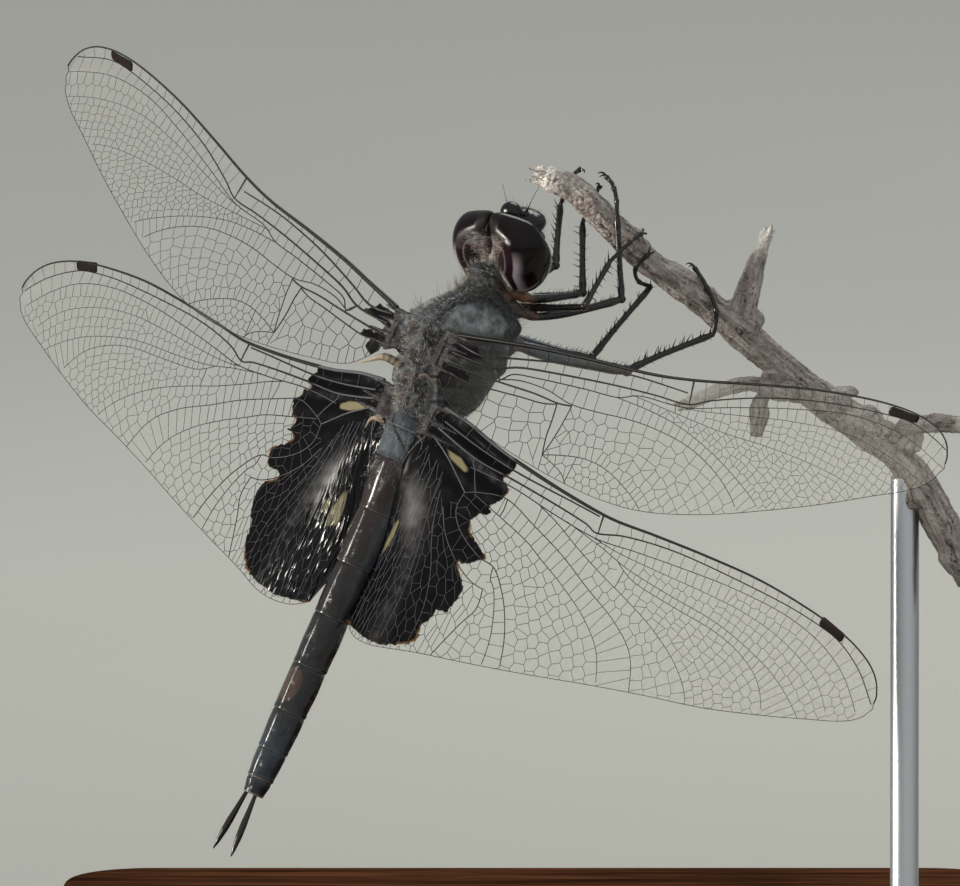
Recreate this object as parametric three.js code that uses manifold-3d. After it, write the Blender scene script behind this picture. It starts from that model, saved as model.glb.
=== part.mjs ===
// A life-size saddlebags dragonfly gripping a broken twig, on a plain display stand.
// Millimetres, +Z up. The floor is z = 0 and the middle of the base is the origin.
import * as THREE from 'three';
import { mergeVertices } from 'three/addons/utils/BufferGeometryUtils.js';
import Module from 'manifold-3d';

const wasm = await Module();
wasm.setup();

// ---- Driving dimensions ----
const gap = 0.3; // clearance between neighbouring solids

const pose = {
  bodyHeight: 46, // body origin above the floor
  bodyShift: [-9, -4.5], // body origin from the middle of the base
  leanBack: 8, // whole perch leans away
  climb: 66, // body axis above the horizontal
  roll: 39, // right side of the body turned to the front
};

const head = {
  centre: [0, 13.0, -1.45],
  pitch: -56, // face tipped towards the belly
  roll: -10,
  yaw: 4,
  eyeCentre: [2.05, 0.1, -0.2],
  eyeRadii: [2.2, 2.35, 3.1],
  eyeTilt: [9, 14, 7], // turn of each eye about across, along and up
  eyeRear: [-1.2, 24], // back of the eye: where it crosses the middle, and how far it slants back outwards
  seam: 0.15, // half the slit where the eyes meet
  antennaRoot: [1.1, 2.2, 2.8],
  antennaReach: [0.9, 0.7, 1.7],
  antennaThickness: 0.5,
};

// One row for each ring of the thorax: along the body, half width, top, bottom, narrowing of the top.
const thoraxRings = [
  [-1.2, 1.9, 1.9, -1.9, 0.1],
  [-0.5, 2.5, 2.4, -3.0, 0.1],
  [0.3, 2.9, 2.8, -4.3, 0.1],
  [1.5, 3.2, 3.3, -5.0, 0.1],
  [3.0, 3.35, 3.8, -5.3, 0.1],
  [4.5, 3.35, 4.2, -5.5, 0.12],
  [5.8, 3.2, 4.4, -5.6, 0.2],
  [7.0, 2.9, 3.2, -5.5, 0.3],
  [8.2, 2.5, 1.9, -5.0, 0.35],
  [9.2, 1.9, 0.9, -3.7, 0.35],
  [9.9, 1.3, 0.4, -2.0, 0.3],
];

const neck = { from: 10.25, to: 10.65, radius: 0.85, height: -0.45 };

// Ends of the ten abdomen segments, and half width and half height at each end.
const abdomen = {
  ends: [-1.5, -2.7, -5.2, -9.4, -13.9, -18.2, -22.4, -26.2, -29.4, -31.8, -33.1],
  halfWidth: [1.95, 2.05, 1.95, 1.6, 1.55, 1.5, 1.45, 1.4, 1.25, 1.05, 0.8],
  halfHeight: [1.95, 2.1, 1.85, 1.5, 1.4, 1.35, 1.3, 1.25, 1.15, 1.0, 0.75],
  axisHeight: -0.35,
  sway: 0.25,
  join: 0.05, // half the gap between two segments
};

const cercus = { length: 4.9, spread: 0.45, splay: 6, thickness: 0.56 };

// Wing outline: one row for each station, leading x y, then trailing x y, out from the hinge.
const foreWing = {
  hinge: [2.7, 4.3, 3.4],
  droop: 7,
  sweep: { right: -0.5, left: 0.5 },
  thickness: 0.5,
  sag: { right: 0, left: 0 },
  stations: [
    [0.65, 1.3, 0.55, -2.3],
    [4.5, 2.2, 3.2, -4.2],
    [8, 3.0, 7.5, -5.0],
    [13, 3.9, 13, -5.6],
    [18, 4.7, 18, -5.7],
    [22, 5.7, 22.5, -5.1],
    [27, 7.3, 27.5, -3.4],
    [32, 8.8, 32.5, -1.1],
    [37, 9.9, 37, 1.2],
    [40.5, 10.3, 40.5, 3.2],
    [43, 10.1, 43, 4.6],
    [44.5, 9.4, 44.5, 5.8],
    [45.3, 8.3, 45.3, 6.9],
  ],
};
const hindWing = {
  hinge: [2.6, -1.2, 1.3],
  droop: 11,
  sweep: { right: -1.6, left: 1.6 },
  thickness: 0.5,
  sag: { right: 2.2, left: 2.4 }, // drop of the broad inner field beside the abdomen
  stations: [
    [0.75, 1.3, 0.0, -16.6],
    [3.4, 1.0, 1.3, -17.5],
    [6.5, 0.3, 3.6, -17.6],
    [10, -0.2, 7.5, -16.6],
    [14, -0.6, 12, -15.6],
    [18, -0.8, 17, -14.4],
    [22, -0.5, 22, -13.1],
    [27, -0.2, 27, -11.9],
    [32, -0.1, 32, -10.8],
    [37, -0.5, 37, -9.3],
    [40.5, -1.1, 40.5, -8.1],
    [43, -2.0, 43, -7.2],
    [44.4, -3.0, 44.4, -6.4],
    [45.1, -4.1, 45.1, -5.6],
  ],
};

// Joints of each leg about the body origin, before the perch leans back:
// coxa, knee, ankle, foot, claw tip, and the thickness of thigh, shin and foot.
const legs = {
  fore_left: {
    coxa: [5.6, 3.7, 8.4],
    knee: [10.2, 5.0, 10.3],
    ankle: [10.6, 8.9, 15.0],
    foot: [[11.1, 9.5, 16.3], [11.7, 9.3, 17.4]],
    claw: [12.1, 8.7, 17.7],
    thickness: [0.75, 0.55, 0.5],
  },
  fore_right: {
    coxa: [8.0, 2.45, 7.75],
    knee: [12.3, 5.4, 8.2],
    ankle: [12.3, 8.7, 13.6],
    foot: [[12.7, 9.7, 14.7], [13.4, 9.6, 16.0]],
    claw: [13.6, 8.9, 16.4],
    thickness: [0.75, 0.55, 0.5],
  },
  middle_left: {
    coxa: [6.0, 4.9, 7.2],
    knee: [12.4, 1.3, 7.1],
    ankle: [14.4, 4.9, 10.6],
    foot: [[15.3, 5.2, 11.5], [16.2, 6.1, 12.3]],
    claw: [16.9, 6.75, 12.8],
    thickness: [0.6, 0.5, 0.5],
  },
  middle_right: {
    coxa: [8.5, 3.2, 6.3],
    knee: [15.3, 5.6, 7.7],
    ankle: [14.95, 6.6, 14.3],
    foot: [[14.9, 7.2, 15.5], [14.6, 8.0, 16.6]],
    claw: [14.1, 8.5, 17.2],
    thickness: [0.7, 0.5, 0.5],
  },
  hind_left: {
    coxa: [5.2, 5.5, 5.3],
    knee: [13.0, 7.3, 3.2],
    ankle: [17.6, 9.6, 8.7],
    foot: [[16.6, 8.6, 9.1], [16.4, 7.4, 10.1]],
    claw: [17.4, 7.0, 11.2],
    thickness: [0.75, 0.55, 0.5],
  },
  hind_right: {
    coxa: [7.3, 2.6, 4.15],
    knee: [15.7, 5.2, 2.2],
    ankle: [22.4, 8.1, 5.0],
    foot: [[22.6, 8.0, 6.8], [21.8, 8.2, 8.8]],
    claw: [20.9, 9.2, 10.2],
    thickness: [0.95, 0.55, 0.5],
  },
};

const twig = {
  line: [
    [9.5, 7.6, 17.1],
    [11.6, 7.8, 16.2],
    [14.5, 8.2, 13.4],
    [17.5, 8.7, 10.5],
    [20.5, 9.2, 8.5],
    [24.4, 9.8, 5.3],
    [27.2, 10.2, 2.9],
    [31.7, 10.8, -0.7],
    [34.6, 11.2, -2.6],
    [36.8, 11.5, -4.6],
    [38.8, 11.8, -7.3],
    [40.4, 12.0, -10.2],
    [42.4, 12.3, -14.0],
  ],
  radius: [0.95, 1.12, 1.12, 1.15, 1.2, 1.35, 1.15, 1.3, 1.45, 1.3, 1.3, 1.4, 1.2],
};
const offshoots = {
  perch_stub: { line: [[24.8, 9.6, 7.4], [25.5, 9.4, 9.8], [26.4, 9.2, 12.5]], radius: [0.95, 0.75, 0.4] },
  perch_splinter: { line: [[27.7, 8.7, 0.5], [24.8, 8.4, 1.2], [20.4, 8.1, -0.3]], radius: [0.6, 0.6, 0.45] },
  perch_bud: { line: [[26.0, 9.0, -0.2], [25.9, 9.0, -1.4], [25.7, 8.9, -2.9]], radius: [0.5, 0.75, 0.45] },
  perch_side: { line: [[37.5, 10.0, -2.1], [39.2, 9.7, -1.9], [42.0, 9.4, -2.0]], radius: [0.75, 0.75, 0.6] },
};

const stand = {
  size: [74, 52],
  cornerRadius: 7,
  thickness: 5,
  edge: 0.7,
  rodRadius: 1.1,
  rodAt: 37.2, // along the base from the body origin
};

const colours = {
  eye: '#2a1218',
  head: '#2b2522',
  thorax: '#39404a',
  abdomen: '#1d1a1b',
  legs: '#121113',
  wing: '#9a9c94',
  bark: '#8a7f78',
  base: '#4a3021',
  steel: '#b9bcc0',
};

// ---- Shape helpers ----
const toRadians = THREE.MathUtils.degToRad;

function finish(geometry) {
  geometry.deleteAttribute('uv');
  geometry.deleteAttribute('normal');
  const merged = mergeVertices(geometry, 1e-4);
  merged.computeVertexNormals();
  return merged;
}

// Moves every vertex of a geometry to the point that place() gives for it.
function reshape(geometry, place) {
  const position = geometry.attributes.position;
  const point = new THREE.Vector3();
  for (let i = 0; i < position.count; i++) {
    point.fromBufferAttribute(position, i);
    place(point);
    position.setXYZ(i, point.x, point.y, point.z);
  }
  return finish(geometry);
}

// Reads a value between the rows of a list, at a place from 0 to 1.
function between(rows, place) {
  const at = THREE.MathUtils.clamp(place, 0, 1) * (rows.length - 1);
  const low = Math.min(Math.floor(at), rows.length - 2);
  return THREE.MathUtils.lerp(rows[low], rows[low + 1], at - low);
}

// A round rod of changing radius along a smooth line of points.
function rod(points, radii, sides, rings, ripple = 0) {
  const curve = new THREE.CatmullRomCurve3(points.map((p) => new THREE.Vector3(...p)));
  const frames = curve.computeFrenetFrames(rings, false);
  const centres = curve.getSpacedPoints(rings);
  const wasted = new THREE.Vector3();
  return reshape(new THREE.CylinderGeometry(1, 1, 1, sides, rings), (point) => {
    const along = point.y + 0.5;
    const ring = Math.round(along * rings);
    const tangent = frames.tangents[ring];
    const normal = frames.normals[ring];
    const side = wasted.crossVectors(normal, tangent).clone();
    const angle = Math.atan2(point.x, point.z);
    const bumps = 1 + ripple * (Math.sin(3 * angle + 9 * along) + Math.sin(23 * along - 2 * angle)) * 0.5;
    const radius = between(radii, along) * bumps;
    const { x, z } = point;
    point.copy(centres[ring]).addScaledVector(normal, x * radius).addScaledVector(side, z * radius);
  });
}

function ellipsoid(centre, radii, detail = [14, 10]) {
  return reshape(new THREE.SphereGeometry(1, ...detail), (point) => {
    point.set(
      centre[0] + point.x * radii[0],
      centre[1] + point.y * radii[1],
      centre[2] + point.z * radii[2],
    );
  });
}

function toSolid(geometry) {
  const numProp = 3;
  const vertProperties = new Float32Array(geometry.attributes.position.array);
  const triVerts = new Uint32Array(geometry.index.array);
  return new wasm.Manifold(new wasm.Mesh({ numProp, vertProperties, triVerts }));
}

function toGeometry(solid) {
  const mesh = solid.getMesh();
  const geometry = new THREE.BufferGeometry();
  geometry.setAttribute('position', new THREE.BufferAttribute(new Float32Array(mesh.vertProperties), 3));
  geometry.setIndex(new THREE.BufferAttribute(new Uint32Array(mesh.triVerts), 1));
  geometry.computeVertexNormals();
  return geometry;
}

const body = new THREE.Group();
const perch = new THREE.Group();
const headGroup = new THREE.Group();
const group = new THREE.Group();
group.name = 'dragonfly';

function add(parent, name, geometry, colour, roughness = 0.5, metalness = 0) {
  const material = new THREE.MeshStandardMaterial({ color: colour, roughness, metalness });
  const mesh = new THREE.Mesh(geometry, material);
  mesh.name = name;
  parent.add(mesh);
  return mesh;
}

// ---- Thorax and neck ----
const thorax = reshape(new THREE.CylinderGeometry(1, 1, 1, 24, thoraxRings.length - 1), (point) => {
  const ring = Math.round((point.y + 0.5) * (thoraxRings.length - 1));
  const [along, halfWidth, top, bottom, narrow] = thoraxRings[ring];
  const boxiness = 0.86;
  const across = Math.sign(point.x) * Math.abs(point.x) ** boxiness;
  const height = Math.sign(point.z) * Math.abs(point.z) ** boxiness;
  point.set(
    across * halfWidth * (1 - narrow * height),
    along,
    (top + bottom) / 2 + (height * (top - bottom)) / 2,
  );
});
add(body, 'thorax', thorax, colours.thorax, 0.55);
const { from, to, radius, height } = neck;
const neckLine = [[0, from, height], [0, (from + to) / 2, height + 0.1], [0, to, height + 0.35]];
add(body, 'prothorax', rod(neckLine, [radius * 0.8, radius, radius * 0.6], 14, 6), colours.thorax, 0.6);

// ---- Abdomen: ten segments and two cerci ----
for (let i = 0; i < 10; i++) {
  const front = abdomen.ends[i] - (i ? abdomen.join : 0);
  const rear = abdomen.ends[i + 1] + abdomen.join;
  const segment = reshape(new THREE.CylinderGeometry(1, 1, 1, 16, 3), (point) => {
    const along = 0.5 - point.y; // 0 at the front of the segment
    const swell = 1 + 0.03 * Math.sin(Math.PI * along);
    const width = THREE.MathUtils.lerp(abdomen.halfWidth[i], abdomen.halfWidth[i + 1], along) * swell;
    const tall = THREE.MathUtils.lerp(abdomen.halfHeight[i], abdomen.halfHeight[i + 1], along) * swell;
    const belly = point.z < 0 ? 0.85 : 1; // flatter underneath
    point.set(
      abdomen.sway + point.x * width,
      THREE.MathUtils.lerp(front, rear, along),
      abdomen.axisHeight + point.z * tall * belly,
    );
  });
  add(body, `abdomen_${i + 1}`, segment, colours.abdomen, 0.3);
}
for (const [side, sign] of [['left', -1], ['right', 1]]) {
  const start = abdomen.ends[10] - gap;
  const spread = Math.tan(toRadians(cercus.splay)) * cercus.length;
  const line = [0, 0.5, 1].map((t) => [
    abdomen.sway + sign * (cercus.spread + spread * t),
    start - cercus.length * t,
    abdomen.axisHeight + 0.25 + 0.3 * t,
  ]);
  const half = cercus.thickness / 2;
  add(body, `cercus_${side}`, rod(line, [half, half * 1.1, half], 8, 5), colours.legs, 0.4);
}

// ---- Wings ----
// Finds the point of the wing sheet at a place out from the hinge and across the chord, both 0 to 1.
function wingPoint(wing, curves, out, across, sag) {
  const lead = curves.lead.getPoint(out);
  const trail = curves.trail.getPoint(out);
  const x = THREE.MathUtils.lerp(lead.x, trail.x, across);
  const y = THREE.MathUtils.lerp(lead.y, trail.y, across);
  const inner = THREE.MathUtils.clamp((5 - x) / 5.5, 0, 1);
  const rear = THREE.MathUtils.smoothstep(-y, 3, 12);
  return new THREE.Vector3(x, y, -sag * inner * inner * rear);
}

function wingSolid(wing, side) {
  const sign = side === 'left' ? -1 : 1;
  const curves = {
    lead: new THREE.SplineCurve(wing.stations.map((row) => new THREE.Vector2(row[0], row[1]))),
    trail: new THREE.SplineCurve(wing.stations.map((row) => new THREE.Vector2(row[2], row[3]))),
  };
  const sweep = toRadians(wing.sweep[side]);
  const droop = toRadians(wing.droop);
  return reshape(new THREE.BoxGeometry(1, 1, 1, 18, 4, 1), (point) => {
    const out = 0.5 + sign * point.x;
    const across = 0.5 - point.y;
    const rise = point.z * wing.thickness;
    const sheet = wingPoint(wing, curves, out, across, wing.sag[side]);
    const x = sheet.x * Math.cos(sweep) - sheet.y * Math.sin(sweep);
    const y = sheet.x * Math.sin(sweep) + sheet.y * Math.cos(sweep);
    const z = sheet.z + rise;
    point.set(
      sign * (wing.hinge[0] + x * Math.cos(droop) + z * Math.sin(droop)),
      wing.hinge[1] + y,
      wing.hinge[2] - x * Math.sin(droop) + z * Math.cos(droop),
    );
  });
}
for (const side of ['left', 'right']) {
  add(body, `forewing_${side}`, wingSolid(foreWing, side), colours.wing, 0.3);
  add(body, `hindwing_${side}`, wingSolid(hindWing, side), colours.wing, 0.3);
}

// ---- Head ----
const bigBox = (x, y, z) => toSolid(finish(new THREE.BoxGeometry(20, 20, 20).translate(x, y, z)));
function eyeSolid(sign, swell) {
  const { eyeCentre, eyeRadii, eyeTilt, eyeRear, seam } = head;
  const radii = eyeRadii.map((r) => r + swell);
  const globe = ellipsoid([0, 0, 0], radii, [20, 14])
    .rotateX(toRadians(eyeTilt[0]))
    .rotateY(toRadians(sign * eyeTilt[1]))
    .rotateZ(toRadians(sign * eyeTilt[2]))
    .translate(sign * eyeCentre[0], eyeCentre[1], eyeCentre[2]);
  const behind = new THREE.BoxGeometry(20, 20, 20)
    .translate(0, -10 - swell, 0)
    .rotateZ(-toRadians(sign * eyeRear[1]))
    .translate(0, eyeRear[0], 0);
  return toSolid(globe)
    .subtract(bigBox(-sign * (10 - seam + swell), 0, 0))
    .subtract(toSolid(finish(behind)));
}
const skull = toSolid(ellipsoid([0, -0.35, 0.1], [2.4, 1.35, 2.45]))
  .add(toSolid(ellipsoid([0, 1.35, 2.35], [0.85, 0.75, 0.85], [12, 8])))
  .add(toSolid(ellipsoid([0, 1.9, 1.2], [1.5, 1.35, 1.35])))
  .add(toSolid(ellipsoid([0, 1.7, -0.9], [1.75, 1.5, 1.7])))
  .add(toSolid(ellipsoid([0, 0.6, -2.0], [1.6, 1.6, 1.1])))
  .subtract(eyeSolid(-1, gap))
  .subtract(eyeSolid(1, gap));
const skullParts = skull.decompose().sort((a, b) => b.volume() - a.volume());
add(headGroup, 'head', toGeometry(skullParts[0]), colours.head, 0.5);
add(headGroup, 'eye_left', toGeometry(eyeSolid(-1, 0)), colours.eye, 0.12);
add(headGroup, 'eye_right', toGeometry(eyeSolid(1, 0)), colours.eye, 0.12);
for (const [side, sign] of [['left', -1], ['right', 1]]) {
  const half = head.antennaThickness / 2;
  const { antennaRoot: root, antennaReach: reach } = head;
  const line = [0, 0.5, 1].map((t) => [
    sign * (root[0] + reach[0] * t),
    root[1] + reach[1] * t,
    root[2] + reach[2] * t * (1.1 - 0.1 * t),
  ]);
  add(headGroup, `antenna_${side}`, rod(line, [half, half, half * 0.9], 7, 4), colours.legs, 0.5);
}
headGroup.position.set(...head.centre);
headGroup.rotation.set(toRadians(head.pitch), toRadians(head.roll), toRadians(head.yaw));
body.add(headGroup);

// ---- Legs: thigh, shin and foot of each ----
for (const [name, leg] of Object.entries(legs)) {
  const [coxa, knee, ankle] = [leg.coxa, leg.knee, leg.ankle].map((p) => new THREE.Vector3(...p));
  const [thigh, shin, foot] = leg.thickness.map((t) => t / 2);
  // Shortens a straight length so that a gap is left at each of its ends.
  const straight = (a, b, startGap, endGap) => {
    const direction = b.clone().sub(a).normalize();
    const start = a.clone().addScaledVector(direction, startGap);
    const end = b.clone().addScaledVector(direction, -endGap);
    return [start.toArray(), start.clone().lerp(end, 0.5).toArray(), end.toArray()];
  };
  const thighLine = straight(coxa, knee, 0, 0.1);
  const shinLine = straight(knee, ankle, 0.75, 0.1);
  add(perch, `femur_${name}`, rod(thighLine, [thigh, thigh * 1.1, thigh * 0.8], 8, 4), colours.legs, 0.3);
  add(perch, `tibia_${name}`, rod(shinLine, [shin, shin, shin * 0.95], 8, 4), colours.legs, 0.3);
  const toFoot = new THREE.Vector3(...leg.foot[0]).sub(ankle).normalize();
  const footStart = ankle.clone().addScaledVector(toFoot, 0.65).toArray();
  const footLine = [footStart, ...leg.foot, leg.claw];
  add(perch, `tarsus_${name}`, rod(footLine, [foot, foot, foot, foot * 0.9], 8, 7), colours.legs, 0.35);
}

// ---- Perch ----
const perchTwig = rod(twig.line, twig.radius, 12, 30, 0.05);
add(perch, 'perch_twig', perchTwig, colours.bark, 0.95);
for (const [name, shoot] of Object.entries(offshoots)) {
  add(perch, name, rod(shoot.line, shoot.radius, 10, 6, 0.06), colours.bark, 0.95);
}

// ---- Placing: the body in its pose, and the perch leaning back ----
const climb = toRadians(pose.climb);
const roll = toRadians(pose.roll);
const forward = new THREE.Vector3(Math.cos(climb), 0, Math.sin(climb));
const right = new THREE.Vector3(Math.cos(roll) * Math.sin(climb), -Math.sin(roll), -Math.cos(roll) * Math.cos(climb));
const dorsal = new THREE.Vector3().crossVectors(right, forward);
body.quaternion.setFromRotationMatrix(new THREE.Matrix4().makeBasis(right, forward, dorsal));
perch.add(body);
perch.rotation.x = -toRadians(pose.leanBack);
perch.position.set(pose.bodyShift[0], pose.bodyShift[1], pose.bodyHeight);
group.add(perch);

// ---- Stand: a flat base and one rod that cradles the twig ----
const [halfX, halfY] = stand.size.map((s) => s / 2 - stand.edge);
const corner = stand.cornerRadius;
const outline = new THREE.Shape();
outline.moveTo(-halfX + corner, -halfY);
outline.lineTo(halfX - corner, -halfY);
outline.absarc(halfX - corner, -halfY + corner, corner, -Math.PI / 2, 0);
outline.lineTo(halfX, halfY - corner);
outline.absarc(halfX - corner, halfY - corner, corner, 0, Math.PI / 2);
outline.lineTo(-halfX + corner, halfY);
outline.absarc(-halfX + corner, halfY - corner, corner, Math.PI / 2, Math.PI);
outline.lineTo(-halfX, -halfY + corner);
outline.absarc(-halfX + corner, -halfY + corner, corner, Math.PI, 1.5 * Math.PI);
const slab = new THREE.ExtrudeGeometry(outline, {
  depth: stand.thickness - 2 * stand.edge,
  bevelThickness: stand.edge,
  bevelSize: stand.edge,
  bevelSegments: 1,
  curveSegments: 6,
});
slab.translate(0, 0, stand.edge);
add(group, 'stand_base', finish(slab), colours.base, 0.6);

const rodX = pose.bodyShift[0] + stand.rodAt;
perch.updateMatrixWorld(true);
const fatTwig = rod(twig.line, twig.radius.map((r) => r + gap), 12, 30, 0.05);
const fatTwigSolid = toSolid(finish(fatTwig.applyMatrix4(perch.matrixWorld)));
const curve = new THREE.CatmullRomCurve3(twig.line.map((p) => new THREE.Vector3(...p).applyMatrix4(perch.matrixWorld)));
const crossing = curve.getSpacedPoints(200).reduce((best, p) => (
  Math.abs(p.x - rodX) < Math.abs(best.x - rodX) ? p : best
));
const rodBottom = stand.thickness + gap;
const shaft = new THREE.CylinderGeometry(stand.rodRadius, stand.rodRadius, crossing.z - rodBottom, 20);
shaft.rotateX(Math.PI / 2);
shaft.translate(rodX, crossing.y, (crossing.z + rodBottom) / 2);
const cradle = toSolid(finish(shaft)).subtract(fatTwigSolid).decompose();
cradle.sort((a, b) => b.volume() - a.volume());
add(group, 'stand_rod', toGeometry(cradle[0]), colours.steel, 0.35, 0.9);

export default group;
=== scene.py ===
# A life-size saddlebags dragonfly on a broken twig, dressed for a museum case.
# Shapes are worked out in millimetres, each in its own frame, and placed in metres in the model's frame.
from functools import partial
from math import cos, dist, pi, radians, sin, tan

import bpy
import numpy as np
from mathutils import Matrix, Vector, geometry
from numpy.linalg import norm


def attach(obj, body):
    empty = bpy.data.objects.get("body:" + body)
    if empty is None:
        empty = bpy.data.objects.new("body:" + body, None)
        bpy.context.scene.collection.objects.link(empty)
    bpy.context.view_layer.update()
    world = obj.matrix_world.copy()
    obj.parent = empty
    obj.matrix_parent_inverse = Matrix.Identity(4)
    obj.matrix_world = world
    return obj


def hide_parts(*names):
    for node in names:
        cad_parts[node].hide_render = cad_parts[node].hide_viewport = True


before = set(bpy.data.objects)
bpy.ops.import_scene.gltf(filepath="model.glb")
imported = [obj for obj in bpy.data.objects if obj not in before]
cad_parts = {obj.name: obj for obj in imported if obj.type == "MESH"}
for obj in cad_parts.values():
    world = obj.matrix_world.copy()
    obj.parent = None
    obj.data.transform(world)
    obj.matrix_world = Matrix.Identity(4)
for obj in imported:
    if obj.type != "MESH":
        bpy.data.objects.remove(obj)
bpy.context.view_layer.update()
print("stage: frame loaded")

# Where things stand, in millimetres: the same driving sizes as the solids
pose = {
    "bodyHeight": 46,  # body origin above the floor
    "bodyShift": (-9, -4.5),
    "leanBack": 8,
    "climb": 66,  # body axis above the horizontal
    "roll": 39,
}
headPose = {"centre": (0, 13, -1.45), "pitch": -56, "roll": -10, "yaw": 4}


def turn(degrees, axis):
    return Matrix.Rotation(radians(degrees), 4, axis)


def bodyTurn():
    climb, roll = radians(pose["climb"]), radians(pose["roll"])
    forward = Vector((cos(climb), 0, sin(climb)))
    right = Vector((cos(roll) * sin(climb), -sin(roll), -cos(roll) * cos(climb)))
    return Matrix((right, forward, right.cross(forward))).transposed().to_4x4()


metres = Matrix.Scale(0.001, 4)
perchPlace = Matrix.Translation((*pose["bodyShift"], pose["bodyHeight"]))
perchFrame = metres @ perchPlace @ turn(-pose["leanBack"], "X")
bodyFrame = perchFrame @ bodyTurn()
headTurn = turn(headPose["pitch"], "X") @ turn(headPose["roll"], "Y") @ turn(headPose["yaw"], "Z")
headFrame = bodyFrame @ Matrix.Translation(headPose["centre"]) @ headTurn
standFrame = metres


# Materials: one function for colour, one that adds a node
def shade(code):
    # an sRGB hex value, as linear red, green, blue and alpha
    parts = [int(code[i:i + 2], 16) / 255 for i in (1, 3, 5)]
    return (*[p / 12.92 if p <= 0.04045 else ((p + 0.055) / 1.055) ** 2.4 for p in parts], 1)


def addNode(tree, kind, inputs=None, stops=None, out=None, **settings):
    # Adds a node and gives back its output. A kind may be followed by its mode. Inputs come by name, or as
    # a list in the node's order; "#" starts a colour, and "@" the name of a value stored on the points.
    kind, _, mode = kind.partition(" ")
    node = tree.nodes.new(kind if "Node" in kind else "ShaderNode" + kind)
    for name in ("operation", "feature", "interpolation_type", "data_type"):
        if mode and hasattr(node, name):
            setattr(node, name, mode)
            break
    for name, value in settings.items():
        setattr(node, name, value)
    if isinstance(inputs, list):
        inputs = dict(zip([i for i, socket in enumerate(node.inputs) if socket.enabled], inputs))
    for name, value in (inputs or {}).items():
        if str(value)[0] == "@":
            kept = "Vector" if value in ("@place", "@flat", "@grain") else "Fac"
            value = addNode(tree, "Attribute", out=kept, attribute_name=value[1:])
        if isinstance(value, bpy.types.NodeSocket):
            tree.links.new(value, node.inputs[name])
        else:
            node.inputs[name].default_value = shade(value) if str(value)[0] == "#" else value
    for _ in (stops or ())[2:]:
        node.color_ramp.elements.new(0.5)
    for element, (place, colour) in zip(node.color_ramp.elements if stops else (), stops or ()):
        element.position, element.color = place, shade(colour)
    return node.outputs[out] if out else next((socket for socket in node.outputs if socket.enabled), node)


def newMaterial(name, recipe, *values):
    # the recipe adds the nodes and gives back what the shader takes
    material = bpy.data.materials.new(name)
    material.use_nodes = True
    material.node_tree.nodes.clear()
    add = partial(addNode, material.node_tree)
    add("OutputMaterial", {"Surface": add("BsdfPrincipled", recipe(add, *values))})
    return material


# Shape helpers: points are numpy rows in millimetres
def smoothLine(rows, count, spaced=False):
    # a uniform Catmull-Rom line through the rows, as count + 1 points
    rows = np.asarray(rows, float)
    last = len(rows) - 1
    at = np.linspace(0, last, (count if not spaced else count * 8) + 1)
    low = np.minimum(at.astype(int), last - 1)
    t = (at - low)[:, None]
    p0, p1 = rows[np.maximum(low - 1, 0)], rows[low]
    p2, p3 = rows[low + 1], rows[np.minimum(low + 2, last)]
    v0, v1 = (p2 - p0) / 2, (p3 - p1) / 2
    line = (2 * p1 - 2 * p2 + v0 + v1) * t ** 3 + (-3 * p1 + 3 * p2 - 2 * v0 - v1) * t ** 2 + v0 * t + p1
    return line if not spaced else evenLine(line, count)


def evenLine(line, count):
    # the same line with its points at equal steps
    steps = np.r_[0, np.cumsum(norm(np.diff(line, axis=0), axis=1))]
    at = np.linspace(0, steps[-1], count + 1)
    return np.stack([np.interp(at, steps, line[:, i]) for i in range(line.shape[1])], 1)


def ramp(value, low, high):
    t = np.clip((value - low) / (high - low), 0, 1)
    return t * t * (3 - 2 * t)


def bell(value, middle, width):
    return np.exp(-((value - middle) / width) ** 2)


def ripple(points, size, seed=0):
    # smooth noise from -1 to 1, made of a few waves; size is the bump width in millimetres
    draw = np.random.default_rng(seed)
    total = np.zeros(len(points))
    for _ in range(9):
        wave = draw.normal(size=3)
        wave *= 2 * pi / (size * draw.uniform(0.8, 2.2) * norm(wave))
        total += np.sin(points @ wave + draw.uniform(0, 6.28))
    return total / 4


def carryFrames(line):
    # along, side and up directions at each point of a line, carried without twist
    along = np.gradient(line, axis=0)
    along /= norm(along, axis=1)[:, None]
    start = np.cross(along[0], (0.13, 0.21, 0.97) if abs(along[0][2]) < 0.9 else (1, 0.1, 0))
    side = [start / norm(start)]
    for tangent in along[1:]:
        step = side[-1] - tangent * (side[-1] @ tangent)
        side.append(step / norm(step))
    side = np.array(side)
    return along, side, np.cross(along, side)


def outward(points, faces):
    # turns every face over when the closed shape is inside out
    first = np.array([face[:3] for face in faces])
    a, b, c = points[first[:, 0]], points[first[:, 1]], points[first[:, 2]]
    volume = np.einsum("ij,ij->i", a, np.cross(b, c)).sum()
    return faces if volume > 0 else [face[::-1] for face in faces]


def closeRings(rings):
    # points and faces of the closed shape of rings, an array of (ring, side, 3), with a point amid each end
    count, sides = rings.shape[:2]
    faces, last, start = [], (count - 1) * sides, count * sides
    for i in range(count - 1):
        for j in range(sides):
            a, k = i * sides, (j + 1) % sides
            faces.append((a + j, a + k, a + sides + k, a + sides + j))
    for j in range(sides):
        k = (j + 1) % sides
        faces += [(start, k, j), (start + 1, last + j, last + k)]
    points = np.vstack([rings.reshape(-1, 3), rings[0].mean(0), rings[-1].mean(0)])
    return points, outward(points, faces)


def tubeRings(line, radii, sides):
    along, side, up = carryFrames(line)
    angle = np.linspace(0, 2 * pi, sides, endpoint=False)
    radius = np.interp(np.linspace(0, 1, len(line)), np.linspace(0, 1, len(radii)), radii)
    spoke = np.cos(angle)[None, :, None] * side[:, None] + np.sin(angle)[None, :, None] * up[:, None]
    return line[:, None] + spoke * radius[:, None, None]


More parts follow.
